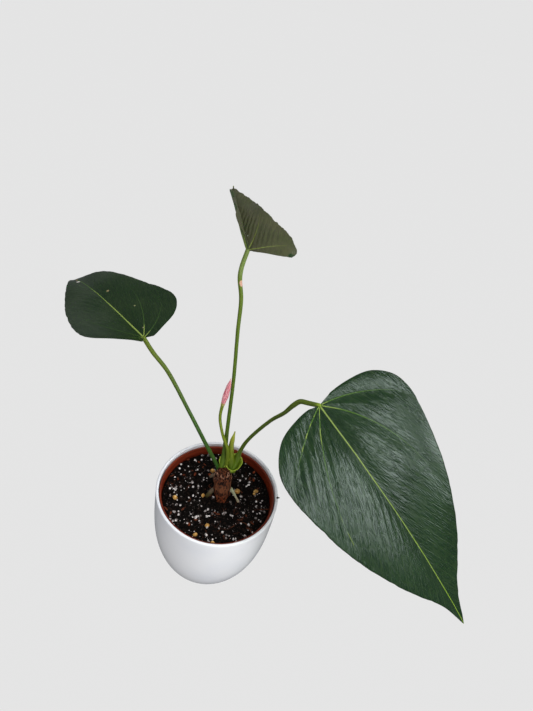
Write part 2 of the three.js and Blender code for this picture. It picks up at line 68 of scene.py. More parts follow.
ahead = Vector((0, math.cos(LOOK_DOWN), -math.sin(LOOK_DOWN)))
level = Vector((1, 0, 0))
down = ahead.cross(level)
picture_right = level * math.cos(CAMERA_TILT) - down * math.sin(CAMERA_TILT)
picture_down = level * math.sin(CAMERA_TILT) + down * math.cos(CAMERA_TILT)
camera_data = bpy.data.cameras.new("camera")
camera_data.sensor_width = SENSOR
camera_data.lens = FOCAL_PIXELS / PICTURE_HEIGHT * SENSOR
camera_data.clip_start = 0.01
camera = bpy.data.objects.new("camera", camera_data)
bpy.context.scene.collection.objects.link(camera)
turned = Matrix((picture_right, -picture_down, -ahead)).transposed().to_4x4()
camera.matrix_world = Matrix.Translation(CAMERA_PLACE) @ turned
bpy.context.scene.camera = camera
print("camera lens in mm:", round(camera_data.lens, 2))

# %% [markdown]
# ## Helpers for shapes
#
# Most of a plant is either a tube or a sheet. Both can be made from the same start: a flat grid from
# `bmesh.ops.create_grid`, whose corners are then moved to where a formula puts them. Curves with a
# bevel would make tubes too, but a grid lets the formula add scars, ridges and swellings, and its UV
# map keeps running straight along the stalk for the finishes.

# %% A grid moved by a formula
def link(mesh, name):
    """Makes an object of a finished bmesh, smooth and at the origin."""
    data = bpy.data.meshes.new(name)
    mesh.to_mesh(data)
    mesh.free()
    data.shade_smooth()
    piece = bpy.data.objects.new(name, data)
    bpy.context.scene.collection.objects.link(piece)
    return piece


def moved_grid(columns, rows, place, flat=None, rise=None):
    """A grid whose corners go to place(u, v), then along their normals by rise(u, v) in metres."""
    mesh = bmesh.new()
    layer = mesh.loops.layers.uv.new("flat")
    bmesh.ops.create_grid(mesh, x_segments=columns, y_segments=rows, size=0.5, calc_uvs=True)
    spots = [(corner.co.x + 0.5, corner.co.y + 0.5) for corner in mesh.verts]
    for corner, (u, v) in zip(mesh.verts, spots):
        corner.co = place(u, v)
        if flat:
            for loop in corner.link_loops:
                loop[layer].uv = flat(u, v)
    mesh.normal_update()
    if rise:
        for corner, (u, v) in zip(mesh.verts, spots):
            corner.co += corner.normal * rise(u, v)
    return mesh


def close_seams(mesh, distance=1e-6, closed=True):
    """Joins corners that fall together, and turns the faces of a closed shape outwards."""
    bmesh.ops.remove_doubles(mesh, verts=mesh.verts, dist=distance)
    bmesh.ops.dissolve_degenerate(mesh, edges=mesh.edges, dist=distance)
    if closed:
        bmesh.ops.recalc_face_normals(mesh, faces=mesh.faces)
    return mesh


def joined(meshes):
    """One bmesh of several."""
    whole = bmesh.new()
    for mesh in meshes:
        data = bpy.data.meshes.new("part")
        mesh.to_mesh(data)
        mesh.free()
        whole.from_mesh(data)
        bpy.data.meshes.remove(data)
    return whole


DETAIL = 1.0
print("detail:", DETAIL)

# %% A smooth curve through a few points
CURVE_SAMPLES = 200


def curve_place(corners, t):
    """Place on the centripetal Catmull-Rom curve through the corners, for t from 0 to 1."""
    last = len(corners) - 1
    index = min(int(t * last), last - 1)
    part = t * last - index
    start, end = corners[index], corners[index + 1]
    before = corners[index - 1] if index else 2 * start - end
    after = corners[index + 2] if index + 2 <= last else 2 * end - start
    gaps = [max((b - a).length ** 0.5, 1e-4) for a, b in ((before, start), (start, end), (end, after))]
    leave = (start - before) / gaps[0] - (end - before) / (gaps[0] + gaps[1]) + (end - start) / gaps[1]
    arrive = (end - start) / gaps[1] - (after - start) / (gaps[1] + gaps[2]) + (after - end) / gaps[2]
    leave, arrive = leave * gaps[1], arrive * gaps[1]
    return (start + leave * part + (-3 * start + 3 * end - 2 * leave - arrive) * part ** 2
            + (2 * start - 2 * end + leave + arrive) * part ** 3)


def even_curve(corners, count):
    """count + 1 points at even distances along the curve through the corners."""
    fine = [curve_place(corners, i / CURVE_SAMPLES) for i in range(CURVE_SAMPLES + 1)]
    reach = [0.0]
    for a, b in zip(fine, fine[1:]):
        reach.append(reach[-1] + (b - a).length)
    points = []
    step = 0
    for i in range(count + 1):
        wanted = reach[-1] * i / count
        while step < CURVE_SAMPLES - 1 and reach[step + 1] < wanted:
            step += 1
        span = reach[step + 1] - reach[step]
        points.append(curve_place(corners, (step + (wanted - reach[step]) / max(span, 1e-9)) / CURVE_SAMPLES))
    return points


def along(stations, t):
    """Value at t of a list of evenly spaced stations, smoothed between them."""
    place = min(max(t, 0), 1) * (len(stations) - 1)
    before = min(int(place), len(stations) - 2)
    part = place - before
    part = part * part * (3 - 2 * part)
    return stations[before] * (1 - part) + stations[before + 1] * part


# %% A tube along a curve
END_ROWS = 4


def tube(route, radii, rows, columns, relief=None, bluntness=0.8):
    """Closed tube through the route (mm) with the radii (mm). relief(turn, t) adds to the radius."""
    rows = max(6, int(rows * DETAIL))
    columns = max(8, int(columns * DETAIL))
    centres = even_curve([Vector(p) for p in route], rows)
    tangents = [(centres[min(i + 1, rows)] - centres[max(i - 1, 0)]).normalized() for i in range(rows + 1)]
    sides = [tangents[0].orthogonal().normalized()]
    for a, b in zip(tangents, tangents[1:]):
        sides.append((a.rotation_difference(b) @ sides[-1]).normalized())
    total = rows + 2 * END_ROWS

    def place(u, v):
        row = round(v * total) - END_ROWS
        ring = min(max(row, 0), rows)
        t = ring / rows
        turn = 2 * math.pi * u
        radius = along(radii, t)
        if relief:
            radius += relief(turn, t)
        past = -row if row < 0 else max(row - rows, 0)
        angle = past / END_ROWS * math.pi / 2
        shift = math.copysign(math.sin(angle) * radius * bluntness, row)
        spoke = sides[ring] * math.cos(turn) + tangents[ring].cross(sides[ring]) * math.sin(turn)
        return (centres[ring] + tangents[ring] * shift + spoke * radius * math.cos(angle)) * MM

    return close_seams(moved_grid(columns, total, place))


# %% A turned body
def turned_body(profile, steps):
    """Spins a profile of (radius, height) points in mm round the Z axis."""
    mesh = bmesh.new()
    corners = [mesh.verts.new((r * MM, 0, z * MM)) for r, z in profile]
    edges = [mesh.edges.new(pair) for pair in zip(corners, corners[1:])]
    bmesh.ops.spin(mesh, geom=corners + edges, cent=(0, 0, 0), axis=(0, 0, 1), angle=2 * math.pi,
                   steps=int(steps * DETAIL), use_merge=True)
    return close_seams(mesh)


# %% [markdown]
# ## Helpers for finishes
#
# A finish is a network of nodes. Written as node by node wiring it is hard to read, so two small classes
# turn it into sums: a `Value` is a number that changes over the surface, and plus, minus and the other
# operators on it add Math nodes. A `Finish` makes the material and any other kind of node.

# %% A number over a surface
class Value:
    """A number that changes over a surface. Operators on it add Math nodes to its finish."""

    def __init__(self, finish, socket):
        self.finish = finish
        self.socket = socket

    def math(self, operation, *inputs):
        return self.finish.node("ShaderNodeMath", {"operation": operation}, dict(enumerate(inputs)))

    def __add__(self, other):
        return self.math("ADD", self, other)

    def __sub__(self, other):
        return self.math("SUBTRACT", self, other)

    def __rsub__(self, other):
        return self.math("SUBTRACT", other, self)

    def __mul__(self, other):
        return self.math("MULTIPLY", self, other)

    def __truediv__(self, other):
        return self.math("DIVIDE", self, other)

    def __pow__(self, other):
        return self.math("POWER", self, other)

    def __abs__(self):
        return self.math("ABSOLUTE", self)

    __radd__ = __add__
    __rmul__ = __mul__

    def most(self, other):
        return self.math("MAXIMUM", self, other)

    def step(self, low, high):
        """0 at low and 1 at high with a soft step between, whichever of the two is larger."""
        ends = {"Value": self, "From Min": low, "From Max": high}
        return self.finish.node("ShaderNodeMapRange", {"interpolation_type": "SMOOTHSTEP"}, ends)


# %% A finish and its nodes
class Finish:
    """A material on a Principled surface. fixed gives the sockets that are the same all over."""

    def __init__(self, name, fixed):
        self.material = bpy.data.materials.new(name)
        self.material.use_nodes = True
        self.tree = self.material.node_tree
        self.surface = self.tree.nodes["Principled BSDF"]
        for socket, value in fixed.items():
            self.surface.inputs[socket].default_value = value

    def node(self, kind, settings=None, inputs=None, output=0):
        """Adds a node with its settings, then the values or links of its sockets."""
        made = self.tree.nodes.new(kind)
        for key, value in (settings or {}).items():
            setattr(made, key, value)
        for key, value in (inputs or {}).items():
            self.feed(made.inputs[key], value)
        return Value(self, made.outputs[output])

    def feed(self, socket, value):
        if isinstance(value, Value):
            self.tree.links.new(value.socket, socket)
        else:
            socket.default_value = value

    def place(self, output="Object"):
        return self.node("ShaderNodeTexCoord", output=output)

    def parts(self, vector):
        return [self.node("ShaderNodeSeparateXYZ", inputs={0: vector}, output=i) for i in range(3)]

    def vector(self, x, y, z=0.0):
        return self.node("ShaderNodeCombineXYZ", inputs={0: x, 1: y, 2: z})

    def distance(self, vector, centre, stretch=(1, 1, 1)):
        """Distance in metres from a centre, along axes that may be stretched."""
        away = self.node("ShaderNodeVectorMath", {"operation": "SUBTRACT"}, {0: vector, 1: centre})
        away = self.node("ShaderNodeVectorMath", {"operation": "MULTIPLY"}, {0: away, 1: stretch})
        return self.node("ShaderNodeVectorMath", {"operation": "LENGTH"}, {0: away}, output="Value")

    def noise(self, scale, detail=3.0, roughness=0.55, at=None):
        inputs = {"Vector": at or self.place(), "Scale": scale, "Detail": detail, "Roughness": roughness}
        return self.node("ShaderNodeTexNoise", {}, inputs)

    def cells(self, scale, feature="F1", at=None):
        inputs = {"Vector": at or self.place(), "Scale": scale}
        return self.node("ShaderNodeTexVoronoi", {"feature": feature}, inputs)

    def blend(self, first, second, share):
        """Mix of two colours: first where share is 0, second where it is 1. Sockets 6 and 7 take them."""
        inputs = {0: share, 6: first, 7: second}
        return self.node("ShaderNodeMix", {"data_type": "RGBA"}, inputs, output=2)

    def use(self, colour=None, roughness=None, height=None, depth=0.0002, strength=1.0):
        """Feeds the surface. height is a bump of the given depth in metres."""
        if colour is not None:
            self.feed(self.surface.inputs["Base Color"], colour)
        if roughness is not None:
            self.feed(self.surface.inputs["Roughness"], roughness)
        if height is not None:
            inputs = {"Height": height, "Distance": depth, "Strength": strength}
            self.feed(self.surface.inputs["Normal"], self.node("ShaderNodeBump", {}, inputs))
        return self.material


# %% Colours and skins
def rgb(red, green, blue):
    """A colour as a picture shows it, 0 to 255, as the linear values that a shader takes."""
    shown = [c / 255 for c in (red, green, blue)]
    linear = [c / 12.92 if c <= 0.04045 else ((c + 0.055) / 1.055) ** 2.4 for c in shown]
    return (*linear, 1.0)


def living(specular, weight, scale, radius):
    """Fixed sockets of a plant's skin: its gloss, and how deep light goes into it by colour."""
    return {"Specular IOR Level": specular, "Subsurface Weight": weight, "Subsurface Scale": scale,
            "Subsurface Radius": radius}


# %% Placing a finished piece
def settle(piece, material, slot, *nodes):
    """Gives a piece its finish and body, and lets it stand for solid nodes. slot is not used."""
    if material.name not in [m.name for m in piece.data.materials]:
        piece.data.materials.append(material)
    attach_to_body(piece, "root")
    if nodes:
        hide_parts(*nodes)
    print(piece.name, len(piece.data.polygons), "faces")


# %% [markdown]
# ## Floor and surround
#
# The picture's ground is one even pale grey with no shadow on it, as on a light table. A floor that
# glows by itself gives that, and lights the pot's sides from below. Past its edge the camera sees the
# same grey from the world, by its camera rays alone. The light that the world gives the plant stays
# dim, because a bright sky would lay a grey veil over every waxy dark leaf.

# %% Floor and surround
FLOOR_SIZE = 12.0
PAPER_GREY = rgb(228, 228, 228)
SURROUND = 0.18

paper = Finish("light table", {"Base Color": rgb(12, 12, 12), "Roughness": 1.0, "Specular IOR Level": 0.0,
                               "Emission Color": PAPER_GREY, "Emission Strength": 1.0})
floor = link(moved_grid(1, 1, lambda u, v: Vector((u - 0.5, v - 0.5, 0)) * FLOOR_SIZE), "floor")
floor.data.materials.append(paper.material)
floor.visible_glossy = False

world = bpy.data.worlds.new("surround")
world.use_nodes = True
sky = world.node_tree
dim = sky.nodes["Background"]
dim.inputs["Color"].default_value = (0.92, 0.96, 1.0, 1.0)
dim.inputs["Strength"].default_value = SURROUND
plain = sky.nodes.new("ShaderNodeBackground")
plain.inputs["Color"].default_value = PAPER_GREY
choice = sky.nodes.new("ShaderNodeMixShader")
seen = sky.nodes.new("ShaderNodeLightPath")
sky.links.new(seen.outputs["Is Camera Ray"], choice.inputs[0])
sky.links.new(dim.outputs[0], choice.inputs[1])
sky.links.new(plain.outputs[0], choice.inputs[2])
sky.links.new(choice.outputs[0], sky.nodes["World Output"].inputs["Surface"])
bpy.context.scene.world = world
bpy.context.scene.view_settings.view_transform = "Standard"
print("floor", FLOOR_SIZE, "m across, surround", SURROUND)

# %% [markdown]
# ## Lights
#
# A high soft key and two large fills light the leaves and the mix, and a faint light stands behind. Two
# panes stand to the right, where the big blade mirrors them towards the camera: its sheen is that
# window. The key and the fills are kept out of mirror reflections, so that the panes are what shows in
# wax and glaze. A whole lit room would be nearer to life, but a few lamps are easier to balance.

# %% Lights
PLANT_MIDDLE = Vector((0.05, 0, 0.2))
COOL_DAYLIGHT = (0.86, 1.0, 0.96)


def towards(azimuth, elevation):
    """Direction seen from the plant. Azimuth 0 is behind it, 90 to its right."""
    turn, climb = math.radians(azimuth), math.radians(elevation)
    return Vector((math.sin(turn) * math.cos(climb), math.cos(turn) * math.cos(climb), math.sin(climb)))


def lamp(name, data, direction, distance, tilt=0.0):
    """Puts a light at a distance from the plant's middle, so that it shines back along direction."""
    light = bpy.data.objects.new(name, data)
    facing = (-direction).to_track_quat("-Z", "Y").to_matrix() @ Matrix.Rotation(math.radians(tilt), 3, "Z")
    light.matrix_world = Matrix.Translation(PLANT_MIDDLE + direction * distance) @ facing.to_4x4()
    bpy.context.scene.collection.objects.link(light)
    return light


def panel(name, direction, distance, size, radiance, tilt=0.0):
    """A soft rectangle of light, as bright per area as radiance says. Lengths in metres."""
    data = bpy.data.lights.new(name, "AREA")
    data.shape = "RECTANGLE"
    data.size, data.size_y = size
    data.energy = radiance * math.pi * size[0] * size[1]
    return lamp(name, data, direction, distance, tilt)


window = panel("window", towards(83, 34.5), 1.5, size=(0.84, 0.26), radiance=7.5, tilt=-8)
high_window = panel("high window", towards(128, 48), 1.5, size=(0.5, 0.24), radiance=9.5, tilt=-12)
rim_light = panel("rim", towards(-38, 20), 1.5, size=(0.9, 0.3), radiance=0.3)
front = panel("front fill", towards(142, 32), 1.4, size=(1.6, 1.6), radiance=1.85)
back = panel("back fill", towards(-70, 60), 1.4, size=(1.4, 1.4), radiance=1.5)
key_data = bpy.data.lights.new("key", "SUN")
key_data.energy = 1.1
key_data.angle = math.radians(28)
key = lamp("key", key_data, towards(100, 66), 1.0)
for light in (front, back, key):
    light.visible_glossy = False
for light in (window, high_window):
    light.data.color = COOL_DAYLIGHT
print("lights:", [light.name for light in (window, high_window, rim_light, front, back, key)])

# %% [markdown]
# ## Cachepot
#
# The outer pot is thrown ceramic under a white glaze: a rounded taper from a small flat foot to a thin
# rounded lip. Its side is one smooth formula, so a profile worked out from that formula and spun
# round the Z axis gives the true shape. A subdivided cylinder would need its loops moved by hand.

# %% Cachepot
CACHEPOT_HEIGHT = 130
CACHEPOT_RIM = 66
CACHEPOT_BASE = 39.3
CACHEPOT_SWELL = 3.63
CACHEPOT_WALL = 3
CACHEPOT_FLOOR = 5
FOOT_HOLLOW = 0.8
FOOT_ROUND = 1.6
SIDE_STEPS = 40
LIP_STEPS = 12
POT_STEPS = 160


def cachepot_radius(z):
    rise = 1 - (1 - z / CACHEPOT_HEIGHT) ** CACHEPOT_SWELL
    return CACHEPOT_BASE + (CACHEPOT_RIM - CACHEPOT_BASE) * rise


lip = CACHEPOT_WALL / 2
side_top = CACHEPOT_HEIGHT - lip
heights = [FOOT_ROUND + (side_top - FOOT_ROUND) * (i / SIDE_STEPS) ** 1.3 for i in range(SIDE_STEPS + 1)]
profile = [(0, FOOT_HOLLOW), (CACHEPOT_BASE - 8, FOOT_HOLLOW), (CACHEPOT_BASE - 7, 0)]
profile += [(CACHEPOT_BASE - 2.4, 0), (CACHEPOT_BASE - 0.6, 0.5)]
profile += [(cachepot_radius(z), z) for z in heights]
for i in range(1, LIP_STEPS):
    angle = math.pi * i / LIP_STEPS
    profile.append((CACHEPOT_RIM - lip + lip * math.cos(angle), side_top + lip * math.sin(angle)))
profile += [(cachepot_radius(z) - CACHEPOT_WALL, z) for z in reversed(heights) if z > CACHEPOT_FLOOR + 5]
profile += [(cachepot_radius(CACHEPOT_FLOOR) - 2 * CACHEPOT_WALL, CACHEPOT_FLOOR), (0, CACHEPOT_FLOOR)]
cachepot = link(turned_body(profile, POT_STEPS), "fine_cachepot")

# %% [markdown]
# The glaze is almost white and very smooth. A soft cloud in its colour, a faint orange-peel bump and a
# few pinholes keep it from looking like plastic. A clear coat over the body gives the wet shine.

# %% White glaze
glaze = Finish("white glaze", {"Roughness": 0.16, "IOR": 1.5, "Coat Weight": 0.5, "Coat Roughness": 0.06})
cloud = glaze.noise(14.0, 2.0)
orange_peel = glaze.noise(180.0, 2.0)
pinholes = glaze.cells(260.0).step(0.05, 0.0)
shade = glaze.blend(rgb(244, 244, 247), rgb(236, 237, 243), cloud.step(0.35, 0.65))
height = orange_peel - 0.6 * pinholes
glaze.use(colour=shade, roughness=0.14 + 0.08 * cloud, height=height, depth=0.00012, strength=0.35)
settle(cachepot, glaze.material, "glaze", "cachepot")

# %% [markdown]
# ## Nursery pot
#
# The plant grows in a thin reddish-brown plastic pot that hangs just inside the cachepot. Only its rim
# and the inside of its rim band show. It is spun like the cachepot, and eight drain holes are cut
# through its floor with a Boolean, which is the plain way to make a clean round hole in a thin wall.

# %% Nursery pot
NURSERY_FOOT = 5.3
NURSERY_TOP = 126.3
NURSERY_RIM = 62.2
NURSERY_NECK = 60.4
NURSERY_BASE = 38
NURSERY_WALL = 1.4
BAND_FOOT = 112.3

inside = NURSERY_NECK - NURSERY_WALL
profile = [
    (0, NURSERY_FOOT), (NURSERY_BASE - 1, NURSERY_FOOT), (NURSERY_BASE - 0.3, NURSERY_FOOT + 0.4),
    (NURSERY_BASE, NURSERY_FOOT + 1.5), (NURSERY_NECK, BAND_FOOT - 0.3), (NURSERY_NECK + 0.3, BAND_FOOT),
    (NURSERY_RIM - 0.6, BAND_FOOT), (NURSERY_RIM, BAND_FOOT + 1), (NURSERY_RIM, NURSERY_TOP - 0.6),
    (NURSERY_RIM - 0.2, NURSERY_TOP - 0.2), (NURSERY_RIM - 0.6, NURSERY_TOP),
    (NURSERY_RIM - 1.3, NURSERY_TOP), (NURSERY_RIM - 1.7, NURSERY_TOP - 0.2),
    (NURSERY_RIM - 1.9, NURSERY_TOP - 0.8), (inside + 0.6, BAND_FOOT + 2), (inside + 0.3, BAND_FOOT),
    (inside, BAND_FOOT - 2), (NURSERY_BASE - NURSERY_WALL, NURSERY_FOOT + 3),
    (NURSERY_BASE - 3, NURSERY_FOOT + NURSERY_WALL), (0, NURSERY_FOOT + NURSERY_WALL),
]
nursery_pot = link(turned_body(profile, POT_STEPS), "fine_nursery_pot")

# %% [markdown]
# The holes are drilled now and kept in the mesh: the modifier is worked out once, its result becomes
# the pot's own mesh, and the drills go. So nothing has to be worked out again at render time.

# %% Drain holes
DRAIN_HOLES = 8
DRAIN_RADIUS = 4
DRAIN_RING = 28

drills = bmesh.new()
for i in range(DRAIN_HOLES):
    turn = 2 * math.pi * i / DRAIN_HOLES
    centre = Vector((DRAIN_RING * math.cos(turn), DRAIN_RING * math.sin(turn), NURSERY_FOOT)) * MM
    bmesh.ops.create_cone(drills, cap_ends=True, segments=24, radius1=DRAIN_RADIUS * MM,
                          radius2=DRAIN_RADIUS * MM, depth=8 * MM, matrix=Matrix.Translation(centre))
drill = link(drills, "drill")
cut = nursery_pot.modifiers.new("drain holes", "BOOLEAN")
cut.operation = "DIFFERENCE"
cut.object = drill
bpy.context.view_layer.update()
carved = bpy.data.meshes.new_from_object(nursery_pot.evaluated_get(bpy.context.evaluated_depsgraph_get()))
nursery_pot.modifiers.clear()
nursery_pot.data = carved
bpy.data.objects.remove(drill)
print("drain holes:", DRAIN_HOLES)

# %% [markdown]
# The plastic is dull and scuffed, with slightly darker streaks that run round the wall and some dust.
# The streaks are a noise squeezed in height. Object coordinates leave no seam round the pot.

# %% Terracotta plastic
plastic = Finish("terracotta plastic", {"IOR": 1.46})
scuffs = plastic.noise(60.0, 4.0)
x, y, z = plastic.parts(plastic.place())
streaks = plastic.noise(30.0, 2.0, at=plastic.vector(x, y, z * 8))
shade = plastic.blend(rgb(122, 44, 20), rgb(100, 32, 14), streaks.step(0.35, 0.65))
dust = plastic.noise(300.0, 2.0).step(0.62, 0.75) * 0.35
shade = plastic.blend(shade, rgb(140, 88, 72), dust)
grain = plastic.noise(400.0, 3.0)
plastic.use(colour=shade, roughness=0.38 + 0.25 * scuffs, height=grain, depth=0.0001, strength=0.4)
settle(nursery_pot, plastic.material, "terracotta_plastic", "nursery_pot")

# %% [markdown]
# ## Potting mix
#
# The mix is dark damp peat with white perlite, tan grains, bark bits and a few fibres. Its top is a
# round grid: rings of corners lifted by the same low heaps as the solid model's, then by noise and by
# rounded cells, which read as crumbs. The larger crumbs and all the pale grains are real lumps laid
# on top, sunk in by different amounts. A bump alone would look like painted cloth from the side.

# %% Heights of the mix
MIX_LEVEL = 117
MIX_RADIUS = NURSERY_NECK - NURSERY_WALL - 0.3


def mix_height(x, y):
    """Height in mm of the heaps that the solid model has too."""
    heaps = 0.9 * math.sin(x / 7.3 + 1) * math.cos(y / 6.1) + 0.6 * math.sin((x - 2 * y) / 11)
    return MIX_LEVEL + heaps + 1.5 * math.exp(-(x * x + y * y) / 22.4 ** 2)


def crumbs(x, y):
    """Crumbs and pits in mm on top of the heaps."""
    at = Vector((x, y, 3.7))
    lumps = 1.2 * noise.noise(at / 6.5) + 0.8 * noise.noise(at / 2.6)
    cell = noise.voronoi(at / 3.1)[0][0]
    return lumps + 1.3 * (0.42 - cell)


print("top of the heaps in mm:", round(mix_height(0, 0), 1))

# %% The body of the mix
MIX_ROWS = int(170 * DETAIL)
MIX_COLUMNS = int(380 * DETAIL)
TOP_SHARE = 0.92
MIX_WALLS = [
    (MIX_RADIUS, MIX_LEVEL - 1), (MIX_RADIUS - 0.2, BAND_FOOT - 2), (NURSERY_BASE - 2, NURSERY_FOOT + 4),
    (NURSERY_BASE - 4, NURSERY_FOOT + 2), (0, NURSERY_FOOT + 2),
]


def mix_place(u, v):
    """Top of the mix for the first share of the rows, then down its side and under it."""
    turn = 2 * math.pi * u
    if v <= TOP_SHARE:
        reach = MIX_RADIUS * (v / TOP_SHARE) ** 0.8
        x, y = reach * math.cos(turn), reach * math.sin(turn)
        edge = min(1.0, (MIX_RADIUS - reach) / 3)
        z = mix_height(x, y) * edge + (MIX_LEVEL - 0.5) * (1 - edge) + crumbs(x, y) * edge
    else:
        place = (v - TOP_SHARE) / (1 - TOP_SHARE) * (len(MIX_WALLS) - 1)
        index = min(int(place), len(MIX_WALLS) - 2)
        share = place - index
        reach, z = [a * (1 - share) + b * share for a, b in zip(MIX_WALLS[index], MIX_WALLS[index + 1])]
        x, y = reach * math.cos(turn), reach * math.sin(turn)
    return Vector((x, y, z)) * MM


potting_mix = link(close_seams(moved_grid(MIX_COLUMNS, MIX_ROWS, mix_place)), "fine_potting_mix")

# %% [markdown]
# Damp peat is nearly black, with brown flecks and a few pale glints, which are painted highlights. Noise
# of three sizes and two cell patterns give that. The crumbs are real shapes, so the bump only has to
# roughen them.

# %% Damp peat
peat = Finish("damp peat", {"Specular IOR Level": 0.2})
fine = peat.noise(900.0, 4.0)
patch = peat.noise(140.0, 3.0)
shade = peat.blend(rgb(3, 2, 2), rgb(18, 12, 9), fine.step(0.42, 0.7))
shade = peat.blend(shade, rgb(60, 32, 20), peat.cells(420.0).step(0.16, 0.05) * patch.step(0.5, 0.62))
# Painted highlights: pale glints of wet stone, laid into the peat's colour.
painted_glints = peat.cells(640.0).step(0.2, 0.1) * peat.noise(230.0, 2.0).step(0.54, 0.6)
shade = peat.blend(shade, rgb(110, 98, 92), painted_glints)
peat.use(colour=shade, roughness=0.75 + 0.2 * fine, height=fine + 0.6 * patch, depth=0.0008, strength=0.9)
settle(potting_mix, peat.material, "mix", "potting_mix")

# %% [markdown]
# Each grain starts as an icosphere of 20, 80 or 320 faces, whose corners are pushed in and out at
# random. A particle system could scatter them, but here each one lies at the very height that the two
# formulas give, and a seeded draw makes the same grains on every run. A slow noise crowds them in
# places, because real perlite washes together when the plant is watered.

# %% Grains on the mix
class Grains:
    """Many small irregular lumps that lie on the mix, gathered into one mesh."""

    def __init__(self, seed, subdivisions):
        self.rng = random.Random(seed)
        self.subdivisions = subdivisions
        self.lumps = []

    def add(self, x, y, size, shapes, rise, jitter):
        """One lump. shapes gives the spread of each axis, rise how far it stands out of the mix."""
        rng = self.rng
        scale = Vector([size * rng.uniform(*spread) for spread in shapes])
        turned = Matrix.Rotation(rng.uniform(0, 2 * math.pi), 3, "Z")
        turned = turned @ Matrix.Rotation(rng.uniform(-0.6, 0.6), 3, "X")
        middle = Vector((x, y, mix_height(x, y) + crumbs(x, y) + rise * size))
        lump = bmesh.new()
        bmesh.ops.create_icosphere(lump, subdivisions=self.subdivisions, radius=1.0)
        for corner in lump.verts:
            rough = corner.co * (1 + rng.uniform(-jitter, jitter))
            corner.co = (middle + turned @ (rough * scale)) * MM
        self.lumps.append(lump)

    def scatter(self, count, sizes, shapes, rise, jitter, keep_off=8.0):
        """Lumps all over the mix, more small ones than large ones, clear of the stem's foot."""
        for _ in range(count):
            reach = (MIX_RADIUS - 1.2) * math.sqrt(self.rng.random())
            turn = 2 * math.pi * self.rng.random()
            x, y = reach * math.cos(turn), reach * math.sin(turn)
            size = sizes[0] + (sizes[1] - sizes[0]) * self.rng.random() ** 2.2
            crowd = noise.noise(Vector((x, y, 9 * count)) / 8)
            if math.hypot(x - 5, y + 3) > keep_off and crowd > self.rng.uniform(-0.5, 0.35):
                self.add(x, y, size, shapes, rise, jitter)
        return self

    def piece(self, name):
        return link(joined(self.lumps), name)


ROUND = ((0.7, 1.2), (0.7, 1.1), (0.55, 0.9))
LONG = ((1.3, 2.4), (0.5, 0.8), (0.4, 0.7))
peat_crumbs = Grains(11, 1).scatter(int(2600 * DETAIL), (0.45, 1.9), ROUND, 0.1, 0.22, 0).piece("peat_crumbs")
perlite = Grains(23, 2).scatter(600, (0.4, 1.8), ROUND, 0.3, 0.26).piece("perlite")
grey_grains = Grains(41, 1).scatter(900, (0.25, 0.9), ROUND, 0.35, 0.3).piece("grey_grains")
bark = Grains(31, 2).scatter(150, (0.5, 1.7), LONG, 0.25, 0.22).piece("bark_bits")

# %% [markdown]
# The tan grains are few and stand where the eye finds them: they are laid one by one. A brown twig, an
# arching fibre and a dark crumb on the lip of the pot are the last bits that were left when it was
# potted.

# %% Tan grains and orange bits
TAN_GRAINS = [
    (-43, -13.9, 2.3), (-14.7, -3.2, 1.9), (20.6, 10.8, 2.9), (41, 18, 2.2), (39.5, 13.5, 1.6),
    (-1.6, -38.3, 2.1), (-11, -51.3, 2.2), (-12.1, 30.6, 2.4), (8.5, -55, 2.2),
]
ORANGE_BITS = [
    (-30.1, 21, 1.9), (-30.3, 39.8, 1.6), (-41.9, 17.5, 1.7), (-42.7, 37.5, 1.6), (-46.4, 9.2, 1.3),
    (-20.4, -39.9, 1.8), (34.4, 43, 1.6), (22.5, 55.8, 1.5), (36, 33, 2.0), (-14, 24, 1.6),
]
SMOOTH = ((0.9, 1.15), (0.75, 0.95), (0.65, 0.85))
CHIP = ((0.9, 1.4), (0.5, 0.8), (0.4, 0.7))
tan, orange = Grains(5, 3), Grains(6, 2)
for x, y, size in TAN_GRAINS:
    tan.add(x, y, size * 1.15, SMOOTH, 0.45, 0.03)
for x, y, size in ORANGE_BITS:
    orange.add(x, y, size, CHIP, 0.4, 0.15)
tan_grains, orange_bits = tan.piece("tan_grains"), orange.piece("orange_bits")

# %% Twig, fibres and crumb
SLIVERS = 34


def lying(points, lift):
    """Route in mm that follows the mix's surface at the given lifts."""
    return [(x, y, mix_height(x, y) + crumbs(x, y) + h) for (x, y), h in zip(points, lift)]


rng = random.Random(5)
twig_route = [(46, -5.5, 118.2), (52, -4, 119.2), (57, -3, 119.8), (60.5, -2.5, 120)]
twig = tube(twig_route, [0.5, 0.6, 0.5, 0.4], rows=12, columns=8)
arch = lying([(20, -36), (24, -33), (30, -28), (37, -27), (44, -33), (48, -37)], [0.4, 2, 3.5, 3.5, 2, 0.4])
fibre = tube(arch, [0.3, 0.4, 0.4, 0.35, 0.25], rows=24, columns=8)
slivers = []
for _ in range(SLIVERS):
    reach, turn = MIX_RADIUS * 0.92 * math.sqrt(rng.random()), 2 * math.pi * rng.random()
    x, y = reach * math.cos(turn), reach * math.sin(turn)
    bend = rng.uniform(0, 2 * math.pi)
    length = rng.uniform(3, 8) * (1 if reach < MIX_RADIUS * 0.8 else 0.4)
    spots = []
    for share in (0, 0.5, 1):
        way = bend + 0.4 * share
        spots.append((x + length * share * math.cos(way), y + length * share * math.sin(way)))
    slivers.append(tube(lying(spots, [0.1, 0.9, 0.2]), [0.16, 0.22, 0.1], rows=6, columns=8))
fibres = link(joined([twig, fibre, *slivers]), "fibres")
crumb = bmesh.new()
for x, y, z, size in ((64.7, 6.8, 130.6, 1.1), (66.3, 7.6, 130.2, 0.8)):
    made = bmesh.ops.create_icosphere(crumb, subdivisions=2, radius=size * MM)
    for corner in made["verts"]:
        corner.co *= 1 + rng.uniform(-0.2, 0.2)
    bmesh.ops.translate(crumb, vec=Vector((x, y, z)) * MM, verts=made["verts"])
lip_crumb = link(crumb, "lip_crumb")

